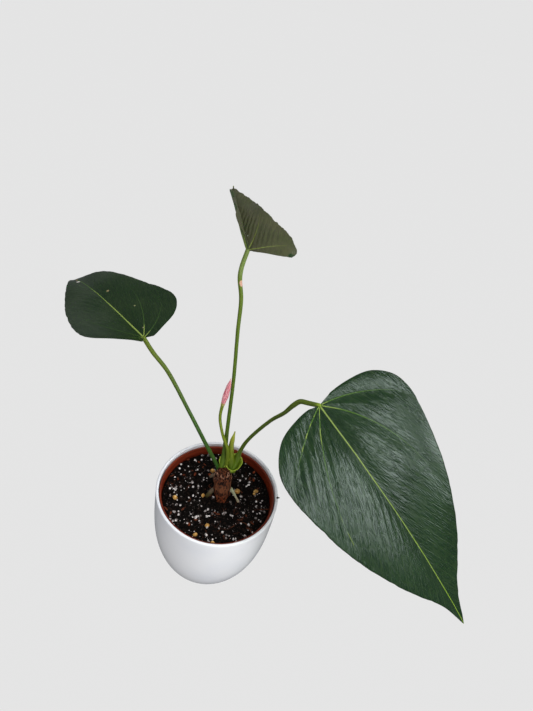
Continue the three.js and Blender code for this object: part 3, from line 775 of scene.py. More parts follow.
# %% [markdown]
# All grains share one kind of finish: its colour drifts from dark to pale by a noise a little larger
# than a grain, so that one grain differs from the next, and by a finer one over each grain. A material
# for every grain would be truer, but hundreds of them would be slow and hard to change.

# %% Finishes of the grains
def grain_finish(name, dark, pale, scale, roughness=0.8, low=0.4, high=0.62):
    """A matt grain whose colour drifts from grain to grain and over each grain."""
    finish = Finish(name, {"Specular IOR Level": 0.25})
    drift = finish.noise(scale, 2.0)
    fine_drift = finish.noise(1400.0, 3.0)
    shade = finish.blend(dark, pale, (0.75 * drift + 0.25 * fine_drift).step(low, high))
    return finish.use(colour=shade, roughness=roughness + 0.1 * fine_drift, height=fine_drift, depth=0.0004)


settle(peat_crumbs, grain_finish("peat crumb", rgb(6, 4, 3), rgb(30, 19, 14), 170), "mix")
settle(perlite, grain_finish("perlite", rgb(96, 84, 82), rgb(240, 232, 230), 260), "mix")
grey_skin = grain_finish("grey grain", rgb(34, 27, 24), rgb(136, 124, 120), 260, low=0.38, high=0.66)
settle(grey_grains, grey_skin, "mix")
settle(bark, grain_finish("bark", rgb(34, 17, 11), rgb(104, 54, 34), 200), "mix")
settle(tan_grains, grain_finish("tan grain", rgb(168, 120, 58), rgb(224, 182, 112), 300, 0.5), "mix")
settle(orange_bits, grain_finish("orange bark", rgb(84, 34, 18), rgb(150, 72, 42), 300), "mix")
settle(fibres, grain_finish("fibre", rgb(52, 26, 16), rgb(104, 58, 36), 200), "mix")
settle(lip_crumb, grain_finish("dark crumb", rgb(20, 16, 14), rgb(60, 50, 44), 300), "mix")

# %% [markdown]
# ## Stem and aerial roots
#
# The stem is a short leaning stub, brown and woody, ringed with old leaf scars, papery at the top and
# fibrous where it meets the mix. A tube with a relief does it: rings of scars, lengthwise cracks and
# noise add to the radius. Torn papery scales and thin root hairs are separate small sheets and tubes.

# %% Stem
STEM_ROUTE = [(7, -10, 104), (6, -5, 117), (3.5, 3, 134), (1, 10, 148), (1, 11, 151)]
STEM_RADII = [2, 3.4, 9, 9.9, 7.6]


def stem_relief(turn, t):
    at = Vector((math.cos(turn) * 2.4, math.sin(turn) * 2.4, t * 9))
    rough = 1.0 * noise.noise(at) + 0.9 * noise.noise(at * 2.7) + 0.5 * noise.noise(at * 6)
    scars = 0.5 * math.sin(34 * t + 1.6 * math.sin(turn)) * (0.6 + 0.4 * math.sin(turn * 2 + 5 * t))
    smooth_band = math.exp(-((t - 0.68) / 0.09) ** 2)
    torn = 1.2 * noise.noise(at * 1.7 + Vector((9, 2, 5))) * max(0, 1 - abs(t - 0.38) / 0.25)
    return (rough + scars + torn) * (1 - 0.7 * smooth_band) - 0.5 - 1.2 * max(0, t - 0.8) / 0.2


stem = link(tube(STEM_ROUTE, STEM_RADII, 140, 110, stem_relief, bluntness=0.3), "fine_stem")

# %% [markdown]
# Old sheaths leave papery scales: three rings of torn sheets stand round the top of the stem, each one
# cupped, narrow at its tip and set a little out of line. Root hairs hang from the lower end. Both are
# small, so each has few faces, and each kind is joined in one mesh.

# %% Papery scales
SCALE_RINGS = (9.6, 9.2, 7.6)
SCALES_IN_RING = 15
SCALE_ROWS = 8
SCALE_COLUMNS = 5
SCALE_THICKNESS = 0.25
SCALE_CUP = 0.35
STEM_TOP = Vector((1.4, 8.9, 139))


def spoke(turn):
    """Level direction at an angle round the stem."""
    return Vector((math.cos(turn), math.sin(turn), 0))


def strip(points, widths):
    """A thin torn scale: a sheet along points in mm, cupped across its width."""
    centres = even_curve(points, SCALE_ROWS)
    outward = Vector((centres[0].x - 2, centres[0].y - 9, 0)).normalized()

    def place(u, v):
        row = round(v * SCALE_ROWS)
        tangent = (centres[min(row + 1, SCALE_ROWS)] - centres[max(row - 1, 0)]).normalized()
        across = tangent.cross(outward).normalized()
        half = along(widths, v) / 2
        bend = (2 * u - 1) ** 2
        return (centres[row] + across * half * (2 * u - 1) - outward * bend * half * SCALE_CUP) * MM

    mesh = close_seams(moved_grid(SCALE_COLUMNS, SCALE_ROWS, place))
    bmesh.ops.solidify(mesh, geom=mesh.faces[:], thickness=SCALE_THICKNESS * MM)
    return mesh


rng = random.Random(17)
flakes = []
for ring, ring_reach in enumerate(SCALE_RINGS):
    for i in range(SCALES_IN_RING):
        out = spoke(2 * math.pi * i / SCALES_IN_RING + rng.uniform(-0.25, 0.25))
        foot = STEM_TOP + Vector((0, 0, 4.2 * ring + rng.uniform(-1.4, 1.4))) + out * ring_reach
        tall = rng.uniform(2.6, 6.0)
        tip = foot - out * (rng.uniform(-0.8, 0.6) + 0.9 * ring) + Vector((0, 0, tall))
        width = rng.uniform(2.0, 5.2)
        flakes.append(strip([foot, (foot + tip) / 2 + out * 0.6, tip], [width, width * 0.9, 0.5]))
stem_flakes = link(joined(flakes), "stem_flakes")

# %% Rootlets
ROOTLETS = 70
rootlets = []
for _ in range(ROOTLETS):
    out = spoke(2 * math.pi * rng.random())
    z = rng.uniform(118, 134)
    share = (z - 117) / 17
    start = Vector((6 - 2.5 * share, -5 + 8 * share, z)) + out * (3.6 + 5.2 * share)
    fall = rng.uniform(2.5, 6.5)
    side = Vector((-out.y, out.x, 0)) * rng.uniform(-2, 2)
    spots = [start - out * 0.6, start + out * 0.5 + side * 0.4 - Vector((0, 0, fall * 0.4)),
             start - out * 0.9 + side - Vector((0, 0, fall))]
    rootlets.append(tube(spots, [0.55, 0.45, 0.2], rows=8, columns=8))
stem_rootlets = link(joined(rootlets), "stem_rootlets")

# %% [markdown]
# The wood's brown follows a noise squeezed across the stem and drawn out upwards. Where that noise is low
# the bump sinks into cracks that run along the stem, and painted shade darkens them nearly to black.
# Below, it turns a warmer red brown, and higher up it has a smooth tan band, the scar of an old leaf. The
# scales and root hairs take the same finish in paler colours, so that all belong together.

# %% Finishes of the stem
def wood_finish(name, dark, pale, low, band):
    """Woody skin: dark and pale, a tint low down, the smooth tan band and painted shade in the cracks."""
    finish = Finish(name, {"Specular IOR Level": 0.35})
    x, y, z = finish.parts(finish.place())
    grain = finish.noise(1.0, 4.0, at=finish.vector(x * 640, y * 640, z * 120))
    blotch = finish.noise(260.0, 3.0)
    shade = finish.blend(dark, pale, grain.step(0.42, 0.6))
    in_band = z.step(0.1325, 0.1355) * z.step(0.1435, 0.140)
    shade = finish.blend(shade, band, in_band * blotch.step(0.3, 0.6) * 0.8)
    shade = finish.blend(shade, low, z.step(0.133, 0.124) * blotch.step(0.4, 0.6))
    # Painted shade: the cracks, where the bump sinks, go nearly black.
    shade = finish.blend(shade, rgb(16, 8, 6), grain.step(0.45, 0.36) * 0.9)
    roughness = 0.72 + 0.2 * grain - 0.25 * in_band
    return finish.use(colour=shade, roughness=roughness, height=grain + 0.5 * blotch, depth=0.002)


bark_skin = wood_finish("scarred stem", rgb(30, 13, 7), rgb(108, 58, 34), rgb(118, 50, 22), rgb(126, 76, 48))
settle(stem, bark_skin, "woody_stem", "stem")
paper_skin = wood_finish("papery scale", rgb(56, 28, 17), rgb(176, 128, 102), rgb(110, 60, 40),
                         rgb(112, 66, 44))
settle(stem_flakes, paper_skin, "woody_stem")
rootlet_skin = wood_finish("rootlet", rgb(52, 26, 16), rgb(132, 70, 40), rgb(130, 66, 36), rgb(120, 70, 44))
settle(stem_rootlets, rootlet_skin, "woody_stem")

# %% [markdown]
# Two stout roots and a flat nub leave the stem above the mix. They are short tubes with a knobbly
# relief. The right one is pale and greenish, and the left ones are olive brown, so the colour follows
# the place from left to right. Dark mottles lie over all of them.

# %% Aerial roots
ROOTS = {
    "aerial_root_right": ([(8, 4, 132), (13, 4.5, 129.5), (18, 3, 124), (24, 0, 117), (27, -1, 112)],
                          [2.0, 2.0, 1.4, 1.3, 1.0]),
    "aerial_root_left": ([(-2, 2, 129), (-6, 0, 125.5), (-10, -2.5, 118), (-11, -3, 112)],
                         [2.2, 2.5, 2.2, 1.6]),
    "aerial_root_nub": ([(-2, 8, 142), (-7, 9, 141), (-11.5, 9, 137)], [2, 2.4, 1.6]),
}


def root_relief(turn, t):
    at = Vector((math.cos(turn), math.sin(turn), t * 7))
    return 0.34 * noise.noise(at * 1.3) + 0.14 * noise.noise(at * 4)


root_skin = Finish("aerial root", {"Specular IOR Level": 0.3})
x, y, z = root_skin.parts(root_skin.place())
mottle = root_skin.noise(420.0, 4.0)
pale = root_skin.blend(rgb(168, 172, 138), rgb(186, 170, 140), z.step(0.126, 0.118))
olive = root_skin.blend(rgb(108, 92, 74), rgb(74, 68, 36), z.step(0.128, 0.121))
shade = root_skin.blend(olive, pale, x.step(0.0, 0.006))
shade = root_skin.blend(shade, rgb(44, 34, 24), mottle.step(0.56, 0.7) * 0.75)
root_skin.use(colour=shade, roughness=0.55 + 0.3 * mottle, height=mottle, depth=0.0005)
for name, (route, radii) in ROOTS.items():
    root = link(tube(route, radii, 40, 24, root_relief), "fine_" + name)
    settle(root, root_skin.material, "aerial_root", name)

# %% [markdown]
# ## Leaf stalks
#
# Each leaf hangs on a long petiole, a stalk a few millimetres thick that swells at its foot, where it
# clasps the stem, and again just below the blade. The routes are the solid model's own. A slight
# flattening and a few soft lengthwise ridges keep them from looking like wire.

# %% Routes of the petioles
PETIOLES = {
    "petiole_left": ([(-2.5, 10.2, 144), (-6, 12.5, 150.5), (-10.4, 15, 156.6), (-20.3, 20.5, 167.3),
                      (-27.9, 24.5, 176.4), (-47.7, 36.6, 197.5), (-79.4, 54.4, 231.5), (-98, 61.3, 246.2),
                      (-110, 68, 256)],
                     [1.6, 2.1, 2.0, 1.95, 1.9, 2.0, 2.1, 2.2, 2.3]),
    "petiole_middle": ([(-2, 14.5, 149), (-1.8, 18.5, 158), (-2.6, 22.5, 165), (-3.5, 27, 171.5),
                        (-6.5, 41, 199), (-10.7, 62, 234), (-17.9, 87, 280), (-21.8, 103.1, 307.2),
                        (-27.5, 111.9, 324.9), (-28.3, 117, 334), (-26, 124, 351)],
                       [4.1, 2.6, 2.0, 1.95, 1.9, 1.9, 1.95, 2.05, 2.15, 2.4, 2.3]),
    "petiole_right": ([(10, 15, 148), (12.3, 20.5, 158), (12.6, 24.5, 164.5), (15.5, 30, 174.5),
                       (18.7, 32.5, 182), (26.7, 36.1, 196.2), (38, 39, 214), (48.2, 39.9, 226.9),
                       (54.5, 41.7, 237.7), (60.2, 42.7, 244.6), (69, 39.8, 248), (79, 38, 250)],
                      [3.6, 3.0, 2.1, 2.0, 2.0, 2.0, 2.1, 2.2, 2.7, 2.6, 2.4]),
}


def petiole_relief(turn, t):
    ridges = 0.06 * math.sin(5 * turn + 2 * t) + 0.08 * math.cos(2 * turn)
    return ridges + 0.1 * noise.noise(Vector((math.cos(turn), math.sin(turn), t * 22)))


for name, (route, radii) in PETIOLES.items():
    length = sum((Vector(b) - Vector(a)).length for a, b in zip(route, route[1:]))
    print(name, round(length), "mm long")

# %% [markdown]
# A stalk's skin is waxy and lets a little light in. Its colour is a blend of a low, a high and a foot
# green, with darker lengthwise stripes from its UV map and pale freckles. The middle stalk has a pale
# stretch and two tan scars under its blade, and the right one a yellower joint: these are laid over the
# same finish before it is used, so that all three stay alike elsewhere.

# %% Petioles and their skin
def stalk_finish(name, low, high, foot, foot_low, foot_high, rib=0.5):
    """Green waxy skin: colour low at the root end and high at the blade, and another at the foot."""
    finish = Finish(name, living(0.4, 0.08, 0.002, (0.4, 0.8, 0.1)))
    u, v, _ = finish.parts(finish.place("UV"))
    z = finish.parts(finish.place())[2]
    stripes = finish.noise(1.0, 3.0, at=finish.vector(u * 30, v * 9))
    freckles = finish.noise(900.0, 2.0)
    shade = finish.blend(low, high, v.step(0.3, 0.95))
    shade = finish.blend(shade, foot, z.step(foot_high, foot_low))
    darker = finish.blend(shade, rgb(16, 28, 6), rib)
    shade = finish.blend(darker, shade, stripes.step(0.3, 0.6))
    shade = finish.blend(shade, rgb(132, 146, 84), freckles.step(0.66, 0.8) * 0.3)
    height = stripes + 0.4 * freckles
    finish.use(colour=shade, roughness=0.36 + 0.2 * freckles, height=height, depth=0.0003, strength=0.6)
    return finish, shade


PETIOLE_SKINS = {
    "petiole_left": (rgb(54, 88, 22), rgb(94, 110, 28), rgb(42, 80, 20), 0.15, 0.166),
    "petiole_middle": (rgb(74, 98, 16), rgb(98, 118, 26), rgb(88, 114, 24), 0.154, 0.168),
    "petiole_right": (rgb(78, 98, 18), rgb(82, 98, 22), rgb(98, 124, 24), 0.156, 0.172),
}
SCARS = [((-25.2, 109, 320.5), 3.2), ((-24.6, 107, 314), 1.6)]
PALE_STRETCH = (0.322, 0.334)
for name, (route, radii) in PETIOLES.items():
    skin, shade = stalk_finish(name.replace("_", " ") + " skin", *PETIOLE_SKINS[name])
    if name == "petiole_middle":
        z = skin.parts(skin.place())[2]
        shade = skin.blend(shade, rgb(118, 136, 74), z.step(*PALE_STRETCH) * 0.7)
        for centre, size in SCARS:
            near = skin.distance(skin.place(), tuple(c * MM for c in centre), (1, 1, 0.5))
            patchy = near + 0.0012 * skin.noise(600.0, 2.0)
            shade = skin.blend(shade, rgb(196, 150, 128), patchy.step(size * MM, size * MM * 0.7))
        skin.use(colour=shade)
    if name == "petiole_right":
        length = skin.parts(skin.place("UV"))[1]
        skin.use(colour=skin.blend(shade, rgb(118, 136, 40), length.step(0.95, 0.98)))
    petiole = link(tube(route, radii, 190, 26, petiole_relief), "fine_" + name)
    settle(petiole, skin.material, "petiole", name)

# %% [markdown]
# The right and the middle stalk end in open sheaths, cups with a pale edge. The right one holds the new
# shoot. Each is a cupped sheet: its rows run from the foot to the lip and its columns round the stalk,
# and two short lists give the lip's height and reach over that turn. A wall is added with solidify.

# %% Sheaths at the feet of two stalks
SHEATH_COLUMNS = 60
SHEATH_ROWS = 18
SHEATH_THICKNESS = 0.6


def clasp(middle, foot, foot_reach, sweep, heights, reaches):
    """Open cup round a stalk's foot. heights and reaches shape its lip over the sweep of angles."""
    start, end = sweep

    def place(u, v):
        side = math.radians(start + (end - start) * u)
        out = Vector((math.sin(side), -math.cos(side), 0))
        lip = Vector((*middle, along(heights, u))) + out * along(reaches, u)
        low = Vector(foot) + out * foot_reach
        share = math.sin(v * math.pi / 2) ** 0.9
        return (low.lerp(lip, share) + out * (0.8 * v ** 7 + 0.15 * math.sin(9 * side) * v)) * MM

    cup = moved_grid(SHEATH_COLUMNS, SHEATH_ROWS, place)
    bmesh.ops.solidify(cup, geom=cup.faces[:], thickness=SHEATH_THICKNESS * MM)
    return cup


right_cup = clasp((10.2, 19), (9.2, 15.6, 149.6), 4.9, (-120, 210),
                  [156, 155.5, 155, 153, 151.4, 153.4, 156.6, 159, 160, 161.5, 163, 162],
                  [8, 8.8, 9.2, 8, 7, 7.2, 7.6, 7.8, 7.8, 7.2, 6.8, 6.2])
middle_cup = clasp((-1, 18), (-0.8, 14.8, 150), 3.6, (-110, 150),
                   [160, 158, 155, 152.4, 151.6, 154, 158, 162, 163, 163],
                   [4.4, 4.6, 4.7, 4.4, 4.2, 4.4, 4.6, 4.4, 4.2, 4.0])
pale_edge = Finish("sheath skin", living(0.45, 0.15, 0.002, (0.5, 0.8, 0.1)))
u, v, _ = pale_edge.parts(pale_edge.place("UV"))
stripes = pale_edge.noise(1.0, 3.0, at=pale_edge.vector(u * 50, v * 2))
shade = pale_edge.blend(rgb(98, 126, 24), rgb(134, 158, 38), stripes.step(0.4, 0.6))
shade = pale_edge.blend(shade, rgb(176, 190, 74), v.step(0.86, 0.99))
pale_edge.use(colour=shade, roughness=0.35 + 0.15 * stripes, height=stripes, depth=0.0003)
for name, cup in (("sheath_right", right_cup), ("sheath_middle", middle_cup)):
    settle(link(cup, name), pale_edge.material, "petiole")

# %% [markdown]
# ## New shoot, flower stalk and bud
#
# The shoot is a rolled young leaf in its sheath: a tapering spike with a seam down one side. The
# flower bud is a pink spathe still rolled round its spike. Rolling shows as a step in the radius where
# the free edge overlaps, so both are tubes whose radius grows round the turn and drops at the seam.

# %% Shoot, stalk and bud
SHOOT = ([(8, 15, 147), (7.5, 17, 154), (5, 21.5, 163.5), (3, 26.5, 174), (3.3, 33.3, 188.5)],
         [3.2, 3.9, 2.9, 2.3, 0.7])
STALK = ([(2.6, 15, 154), (2.2, 17.4, 161), (1.3, 19, 169), (-0.4, 20.8, 175), (-3.5, 23.5, 179),
          (-8, 29, 183), (-12, 35, 188), (-14.9, 40, 193), (-16.1, 42.7, 199.5), (-15.8, 46.1, 210.8)],
         [1.9, 1.9, 1.8, 1.7, 1.5, 1.5, 1.55, 1.6, 1.8])
BUD = ([(-15.8, 46, 210.5), (-14.6, 50.5, 220), (-13.8, 54, 229), (-13, 57.6, 239)], [2.1, 3.1, 2.6, 0.6])


def rolled(depth, seam_turn, swing):
    """Relief of a rolled sheet: the radius drops by depth at a seam that swings along the roll."""
    def relief(turn, t):
        place = (turn - seam_turn - swing * t) / (2 * math.pi) % 1
        ends = min(1, 6 * t, 5 * (1 - t))
        return depth * (place - 0.5) * ends + 0.06 * math.sin(9 * turn + 4 * t)
    return relief


shoot_skin, _ = stalk_finish("shoot skin", rgb(104, 122, 22), rgb(164, 168, 56), rgb(84, 112, 20),
                             0.152, 0.164, rib=0.35)
new_shoot = link(tube(*SHOOT, 80, 44, rolled(0.9, 2.2, 0.5)), "fine_new_shoot")
settle(new_shoot, shoot_skin.material, "fresh_shoot", "new_shoot")
stalk_skin, _ = stalk_finish("flower stalk skin", rgb(112, 128, 20), rgb(116, 132, 28), rgb(104, 122, 24),
                             0.152, 0.17)
flower_stalk = link(tube(*STALK, 90, 22, petiole_relief), "fine_flower_stalk")
settle(flower_stalk, stalk_skin.material, "fresh_shoot", "flower_stalk")
flower_bud = link(tube(*BUD, 80, 48, rolled(0.8, 3.6, 1.1)), "fine_flower_bud")

# %% [markdown]
# The bud's skin is a soft pink with paler streaks along it, cream at the tip and green where it joins
# the stalk. The streaks read the tube's UV map with a slight slant, because the rolled sheet winds up
# the bud. Light goes a little way into it, as into any thin petal.

# %% Pink spathe
spathe = Finish("rolled spathe", living(0.4, 0.2, 0.002, (1.0, 0.4, 0.4)))
u, v, _ = spathe.parts(spathe.place("UV"))
streak = spathe.noise(1.0, 4.0, at=spathe.vector(u * 26 - v * 3, v * 5))
shade = spathe.blend(rgb(186, 84, 104), rgb(228, 166, 170), streak.step(0.36, 0.64))
shade = spathe.blend(shade, rgb(232, 214, 200), v.step(0.86, 0.97) * 0.8)
shade = spathe.blend(shade, rgb(150, 140, 74), v.step(0.14, 0.08))
spathe.use(colour=shade, roughness=0.4 + 0.2 * streak, height=streak, depth=0.0004)
settle(flower_bud, spathe.material, "pink_spathe", "flower_bud")

# %% [markdown]
# ## Leaf blades
#
# A blade is a flat heart that is bent in space. Its formula takes a flat place, x along the midrib and
# y out to the side in blade lengths, and gives the place on the bent leaf: the midrib arches, each
# half folds up from it and rolls over towards its margin. The grid's rows run out from the end of the
# stalk and its columns follow the margin. Then the surface rises a little along its normal: waves at
# the margin, a bulge between the main veins, and low pleats along the side veins. A sculpted mesh could
# look alike, but a formula keeps the fine blade on the solid one.

# %% The bent blade
FOLD_PLACES = (-0.2, 0.2, 1.0)
CURL_WIDTH = 0.7
MIDRIB_START = -0.4
MIDRIB_STATIONS = 57
OUTLINE_STEPS = 20
MARGIN_SAMPLES = 400
SIDE_VEIN_SLOPE = 2.1
DROOP_CENTRE = (-0.15, 0.39)
DROOP_SPREAD = 0.008


class Blade:
    """A leaf blade. Lengths in mm, angles in degrees, the outline and the veins in blade lengths.

    fold and curl come as (right half, left half), and so do veins and pleat. fold has an angle at each
    of FOLD_PLACES, curl at the two ends. A vein is its angle at the stalk, how fast it bends forward,
    and its reach. wave is the size, the count and the phase of the waves at the margin. bulge, pleat,
    soft and droop are rises in mm, and ragged is the share by which the margin is torn.
    """

    def __init__(self, attach, length, heading, pitch, roll, arch, sway, twist, fold, curl, wave, outline,
                 veins, bulge, pleat, pleats, ragged, soft, droop=0.0):
        self.attach, self.length = Vector(attach), length
        self.arch, self.sway, self.twist = arch, sway, twist
        self.fold, self.curl, self.wave = fold, curl, wave
        self.veins, self.bulge, self.pleat, self.pleats = veins, bulge, pleat, pleats
        self.ragged, self.soft, self.droop = ragged, soft, droop
        self.margin = even_curve([Vector((0, 0)), *[Vector(p) for p in outline]], MARGIN_SAMPLES)
        self.ahead = towards(heading, pitch)
        turn = math.radians(heading)
        level = Vector((math.cos(turn), -math.sin(turn), 0))
        self.right = Matrix.Rotation(-math.radians(roll), 3, self.ahead) @ level
        self.up = self.right.cross(self.ahead)
        self.march()

    def march(self):
        """Frames along the midrib: its places, and the directions across and up from it."""
        self.step = (1 - MIDRIB_START) / (MIDRIB_STATIONS - 1)
        self.frames = []
        before, centre = None, Vector((0, 0, 0))
        for i in range(MIDRIB_STATIONS):
            x = MIDRIB_START + i * self.step
            sink = math.radians(self.arch[0] * x + self.arch[1] * x * abs(x))
            side = math.radians(self.sway[0] * x + self.sway[1] * x * abs(x))
            tangent = (self.ahead * math.cos(side) + self.right * math.sin(side)) * math.cos(sink)
            tangent -= self.up * math.sin(sink)
            across = self.right * math.cos(side) - self.ahead * math.sin(side)
            across = Matrix.Rotation(-math.radians(self.twist) * x, 3, tangent) @ across
            if before:
                centre = centre + (tangent + before) * self.step / 2
            before = tangent
            self.frames.append((centre, across, across.cross(tangent)))
        self.root = self.frame_at(0)[0]

    def frame_at(self, x):
        """Centre, across and up at a place on the midrib, between the two nearest stations."""
        place = min(max((x - MIDRIB_START) / self.step, 0), MIDRIB_STATIONS - 1.001)
        index = int(place)
        return [a.lerp(b, place - index) for a, b in zip(self.frames[index], self.frames[index + 1])]

    def lift(self, x, y):
        """Angle of a half over the level at a place, from its fold and its curl."""
        fold, curl = (self.fold[0], self.curl[0]) if y >= 0 else (self.fold[1], self.curl[1])
        a, b, c = FOLD_PLACES
        total = fold[0] * (x - b) * (x - c) / ((a - b) * (a - c))
        total += fold[1] * (x - a) * (x - c) / ((b - a) * (b - c))
        total += fold[2] * (x - a) * (x - b) / ((c - a) * (c - b))
        rolled_on = curl[0] + (curl[1] - curl[0]) * (x - a) / (c - a)
        return math.radians(total + rolled_on * abs(y) / CURL_WIDTH)

    def at(self, x, y):
        """Place in mm of a flat place on the bent blade."""
        centre, across, normal = self.frame_at(x)
        lift = self.lift(x, y)
        bent = across * y * math.cos(lift) + normal * abs(y) * math.sin(lift)
        return (centre - self.root + bent) * self.length + self.attach

    def normal(self, x, y, d=0.004):
        """Direction out of the upper side, from places a short way d off."""
        y = y or 1e-5
        side = -d if y < 0 else d
        ahead = self.at(x + d, y) - self.at(x - d, y)
        across = (self.at(x, y + side) - self.at(x, y)) * (1 if side > 0 else -1)
        return across.cross(ahead).normalized()

    def vein_distance(self, x, y):
        """Distance in mm to the nearest main vein."""
        reach, turn = math.hypot(x, y), math.degrees(math.atan2(abs(y), x))
        near = abs(y) if x > 0 else reach
        for start, slope, end in self.veins[0 if y >= 0 else 1]:
            near = min(near, reach * abs(math.radians(turn - start + slope * reach)) + max(0, reach - end))
        return near * self.length

    def relief(self, x, y, out):
        """Rise in mm over the plain bent sheet, out from 0 at the stalk to 1 at the margin."""
        bulge = self.bulge * (1 - math.exp(-(self.vein_distance(x, y) / 9) ** 2)) * (1 - 0.7 * out ** 4)
        side = x - SIDE_VEIN_SLOPE * abs(y)
        fade = min(1, abs(y) / 0.05) * min(1, 3 * (1 - out)) * min(1, max(0, x + 0.15) / 0.2)
        drift = 0.35 * noise.noise(Vector((x * 4, y * 4, 1)))
        drift += 0.12 * noise.noise(Vector((x * 13, y * 13, 2)))
        swell = 0.6 + 1.2 * noise.noise(Vector((x * 5, y * 5, 3 + self.length)))
        pleat = self.pleat[0 if y >= 0 else 1] * swell * math.cos(2 * math.pi * (self.pleats * side + drift))
        wrinkle = noise.noise(Vector((side * 26, y * 9, self.length)))
        soft = noise.noise(Vector((x * 7, y * 7, self.length)))
        away = (x - DROOP_CENTRE[0]) ** 2 + (y - DROOP_CENTRE[1]) ** 2
        droop = self.droop * math.exp(-away / DROOP_SPREAD)
        ripple = (0.07 * wrinkle + self.soft * soft) * min(1, 4 * out)
        return bulge + pleat * fade + ripple - droop


# %% [markdown]
# The three blades follow with their numbers. Place, bend, fold, waves and outline are the solid model's
# own, and the veins are traced more finely than there. The left blade turns down towards its tip, the
# top one is folded like a boat and hangs at one corner, and the right one, the largest, is nearly flat.

# %% The three leaves
BLADES = {
    "leaf_left": Blade(
        attach=(-110, 68, 256), length=160, heading=-59, pitch=9.3, roll=9.3,
        arch=(-2.8, 58.7), sway=(5.3, 5.5), twist=8.5,
        fold=((33, 18.5, 12), (60, 23, 7)), curl=((-15, -28), (2, -33)), wave=(1.5, 5, 0.4),
        outline=[(-0.035, 0.035), (-0.032, 0.146), (0, 0.275), (0.103, 0.352), (0.42, 0.276),
                 (0.72, 0.138), (0.88, 0.042), (1, 0)],
        veins=(((48, 52, 0.5), (92, 98, 0.34)), ((66, 80, 0.46), (96, 60, 0.3))),
        bulge=0.8, pleat=(0.06, 0.06), pleats=12, ragged=0.012, soft=0.5),
    "leaf_top": Blade(
        attach=(-26, 124, 351.5), length=122, heading=-22.5, pitch=1.9, roll=-18,
        arch=(-6.2, -6), sway=(2.1, 1.4), twist=-4,
        fold=((33, 54, 50), (51, 54, 41)), curl=((-22, -15), (-10, -5)), wave=(2.2, 6, 1.2),
        outline=[(-0.042, 0.035), (-0.151, 0.242), (-0.117, 0.386), (-0.013, 0.387), (0.42, 0.246),
                 (0.72, 0.151), (0.88, 0.048), (1, 0)],
        veins=(((38, 23, 0.5), (108, 32, 0.36)), ((40, 25, 0.5), (106, 32, 0.36))),
        bulge=1.2, pleat=(0.45, 0.45), pleats=11, ragged=0.03, soft=0.7, droop=5.5),
    "leaf_right": Blade(
        attach=(79, 38, 250), length=252, heading=121, pitch=-26.5, roll=-11.7,
        arch=(-2.2, 11.7), sway=(3.7, 0.7), twist=-0.5,
        fold=((20, 16, 4.6), (16, 17.6, 4.8)), curl=((-15.6, -9.7), (-1, -15.8)), wave=(1.8, 4, 0),
        outline=[(-0.011, 0.035), (-0.013, 0.146), (0.017, 0.266), (0.117, 0.348), (0.42, 0.305),
                 (0.72, 0.166), (0.88, 0.054), (1, 0)],
        veins=(((52, 46, 0.62), (76, 38, 0.42)), ((48, 43, 0.6), (80, 45, 0.34))),
        bulge=1.3, pleat=(0.3, 0.08), pleats=13, ragged=0.006, soft=0.35),
}
for name, blade in BLADES.items():
    print(name, "tip at", [round(c) for c in blade.at(1, 0)], "mm")

# %% A blade's sheet
LEAF_ROWS = 92
LEAF_COLUMNS = 300
LEAF_THICKNESS = 0.7
UV_START = Vector((-0.3, -0.5))
UV_SPAN = 1.4


def leaf_mesh(blade):
    """The blade's middle sheet, with its flat place in the UV map."""
    rows, columns = int(LEAF_ROWS * DETAIL), int(LEAF_COLUMNS * DETAIL)
    last = 2 * OUTLINE_STEPS - 2

    def flat(u, v):
        """Flat place, and the count along the margin."""
        count = u * last
        half = count + 1 if count <= last / 2 else last + 1 - count
        place = MARGIN_SAMPLES * half / OUTLINE_STEPS
        index = min(int(place), MARGIN_SAMPLES - 1)
        torn = noise.noise(Vector((count * 1.1, 0, blade.length)))
        torn += 0.6 * noise.noise(Vector((count * 3, 1, 0)))
        reach = v * (1 + blade.ragged * (torn - 0.3) * v ** 8)
        edge = blade.margin[index].lerp(blade.margin[index + 1], place - index) * reach
        return edge.x, edge.y if count > last / 2 else -edge.y, count

    def place(u, v):
        x, y, _ = flat(u, v)
        return blade.at(x, y) * MM

    def rise(u, v):
        if v == 0:
            return 0
        x, y, count = flat(u, v)
        size, waves, phase = blade.wave
        turn = 2 * math.pi * waves * count / (last + 1) + phase
        raised = size * v ** 3 * math.sin(turn) * math.sin(math.pi * count / last)
        return (raised + blade.relief(x, y, v)) * MM

    def uv(u, v):
        x, y, _ = flat(u, v)
        return (Vector((x, y)) - UV_START) / UV_SPAN

    mesh = close_seams(moved_grid(columns, rows, place, uv, rise), 1e-7, closed=False)
    mesh.normal_update()
    return mesh


# %% [markdown]
# ## Finish of the blades
#
# The upper side is dark and waxy, with thin pale veins; the underside is paler and matt. The veins are
# drawn in the blade's own flat coordinates from its UV map, by the same angles as the ridges below it,
# so they stay on the leaf however it bends. Side veins are lines of a skewed coordinate, and between
# them a stretched cell pattern gives the fine net. An image would be simpler, but could not stay sharp.

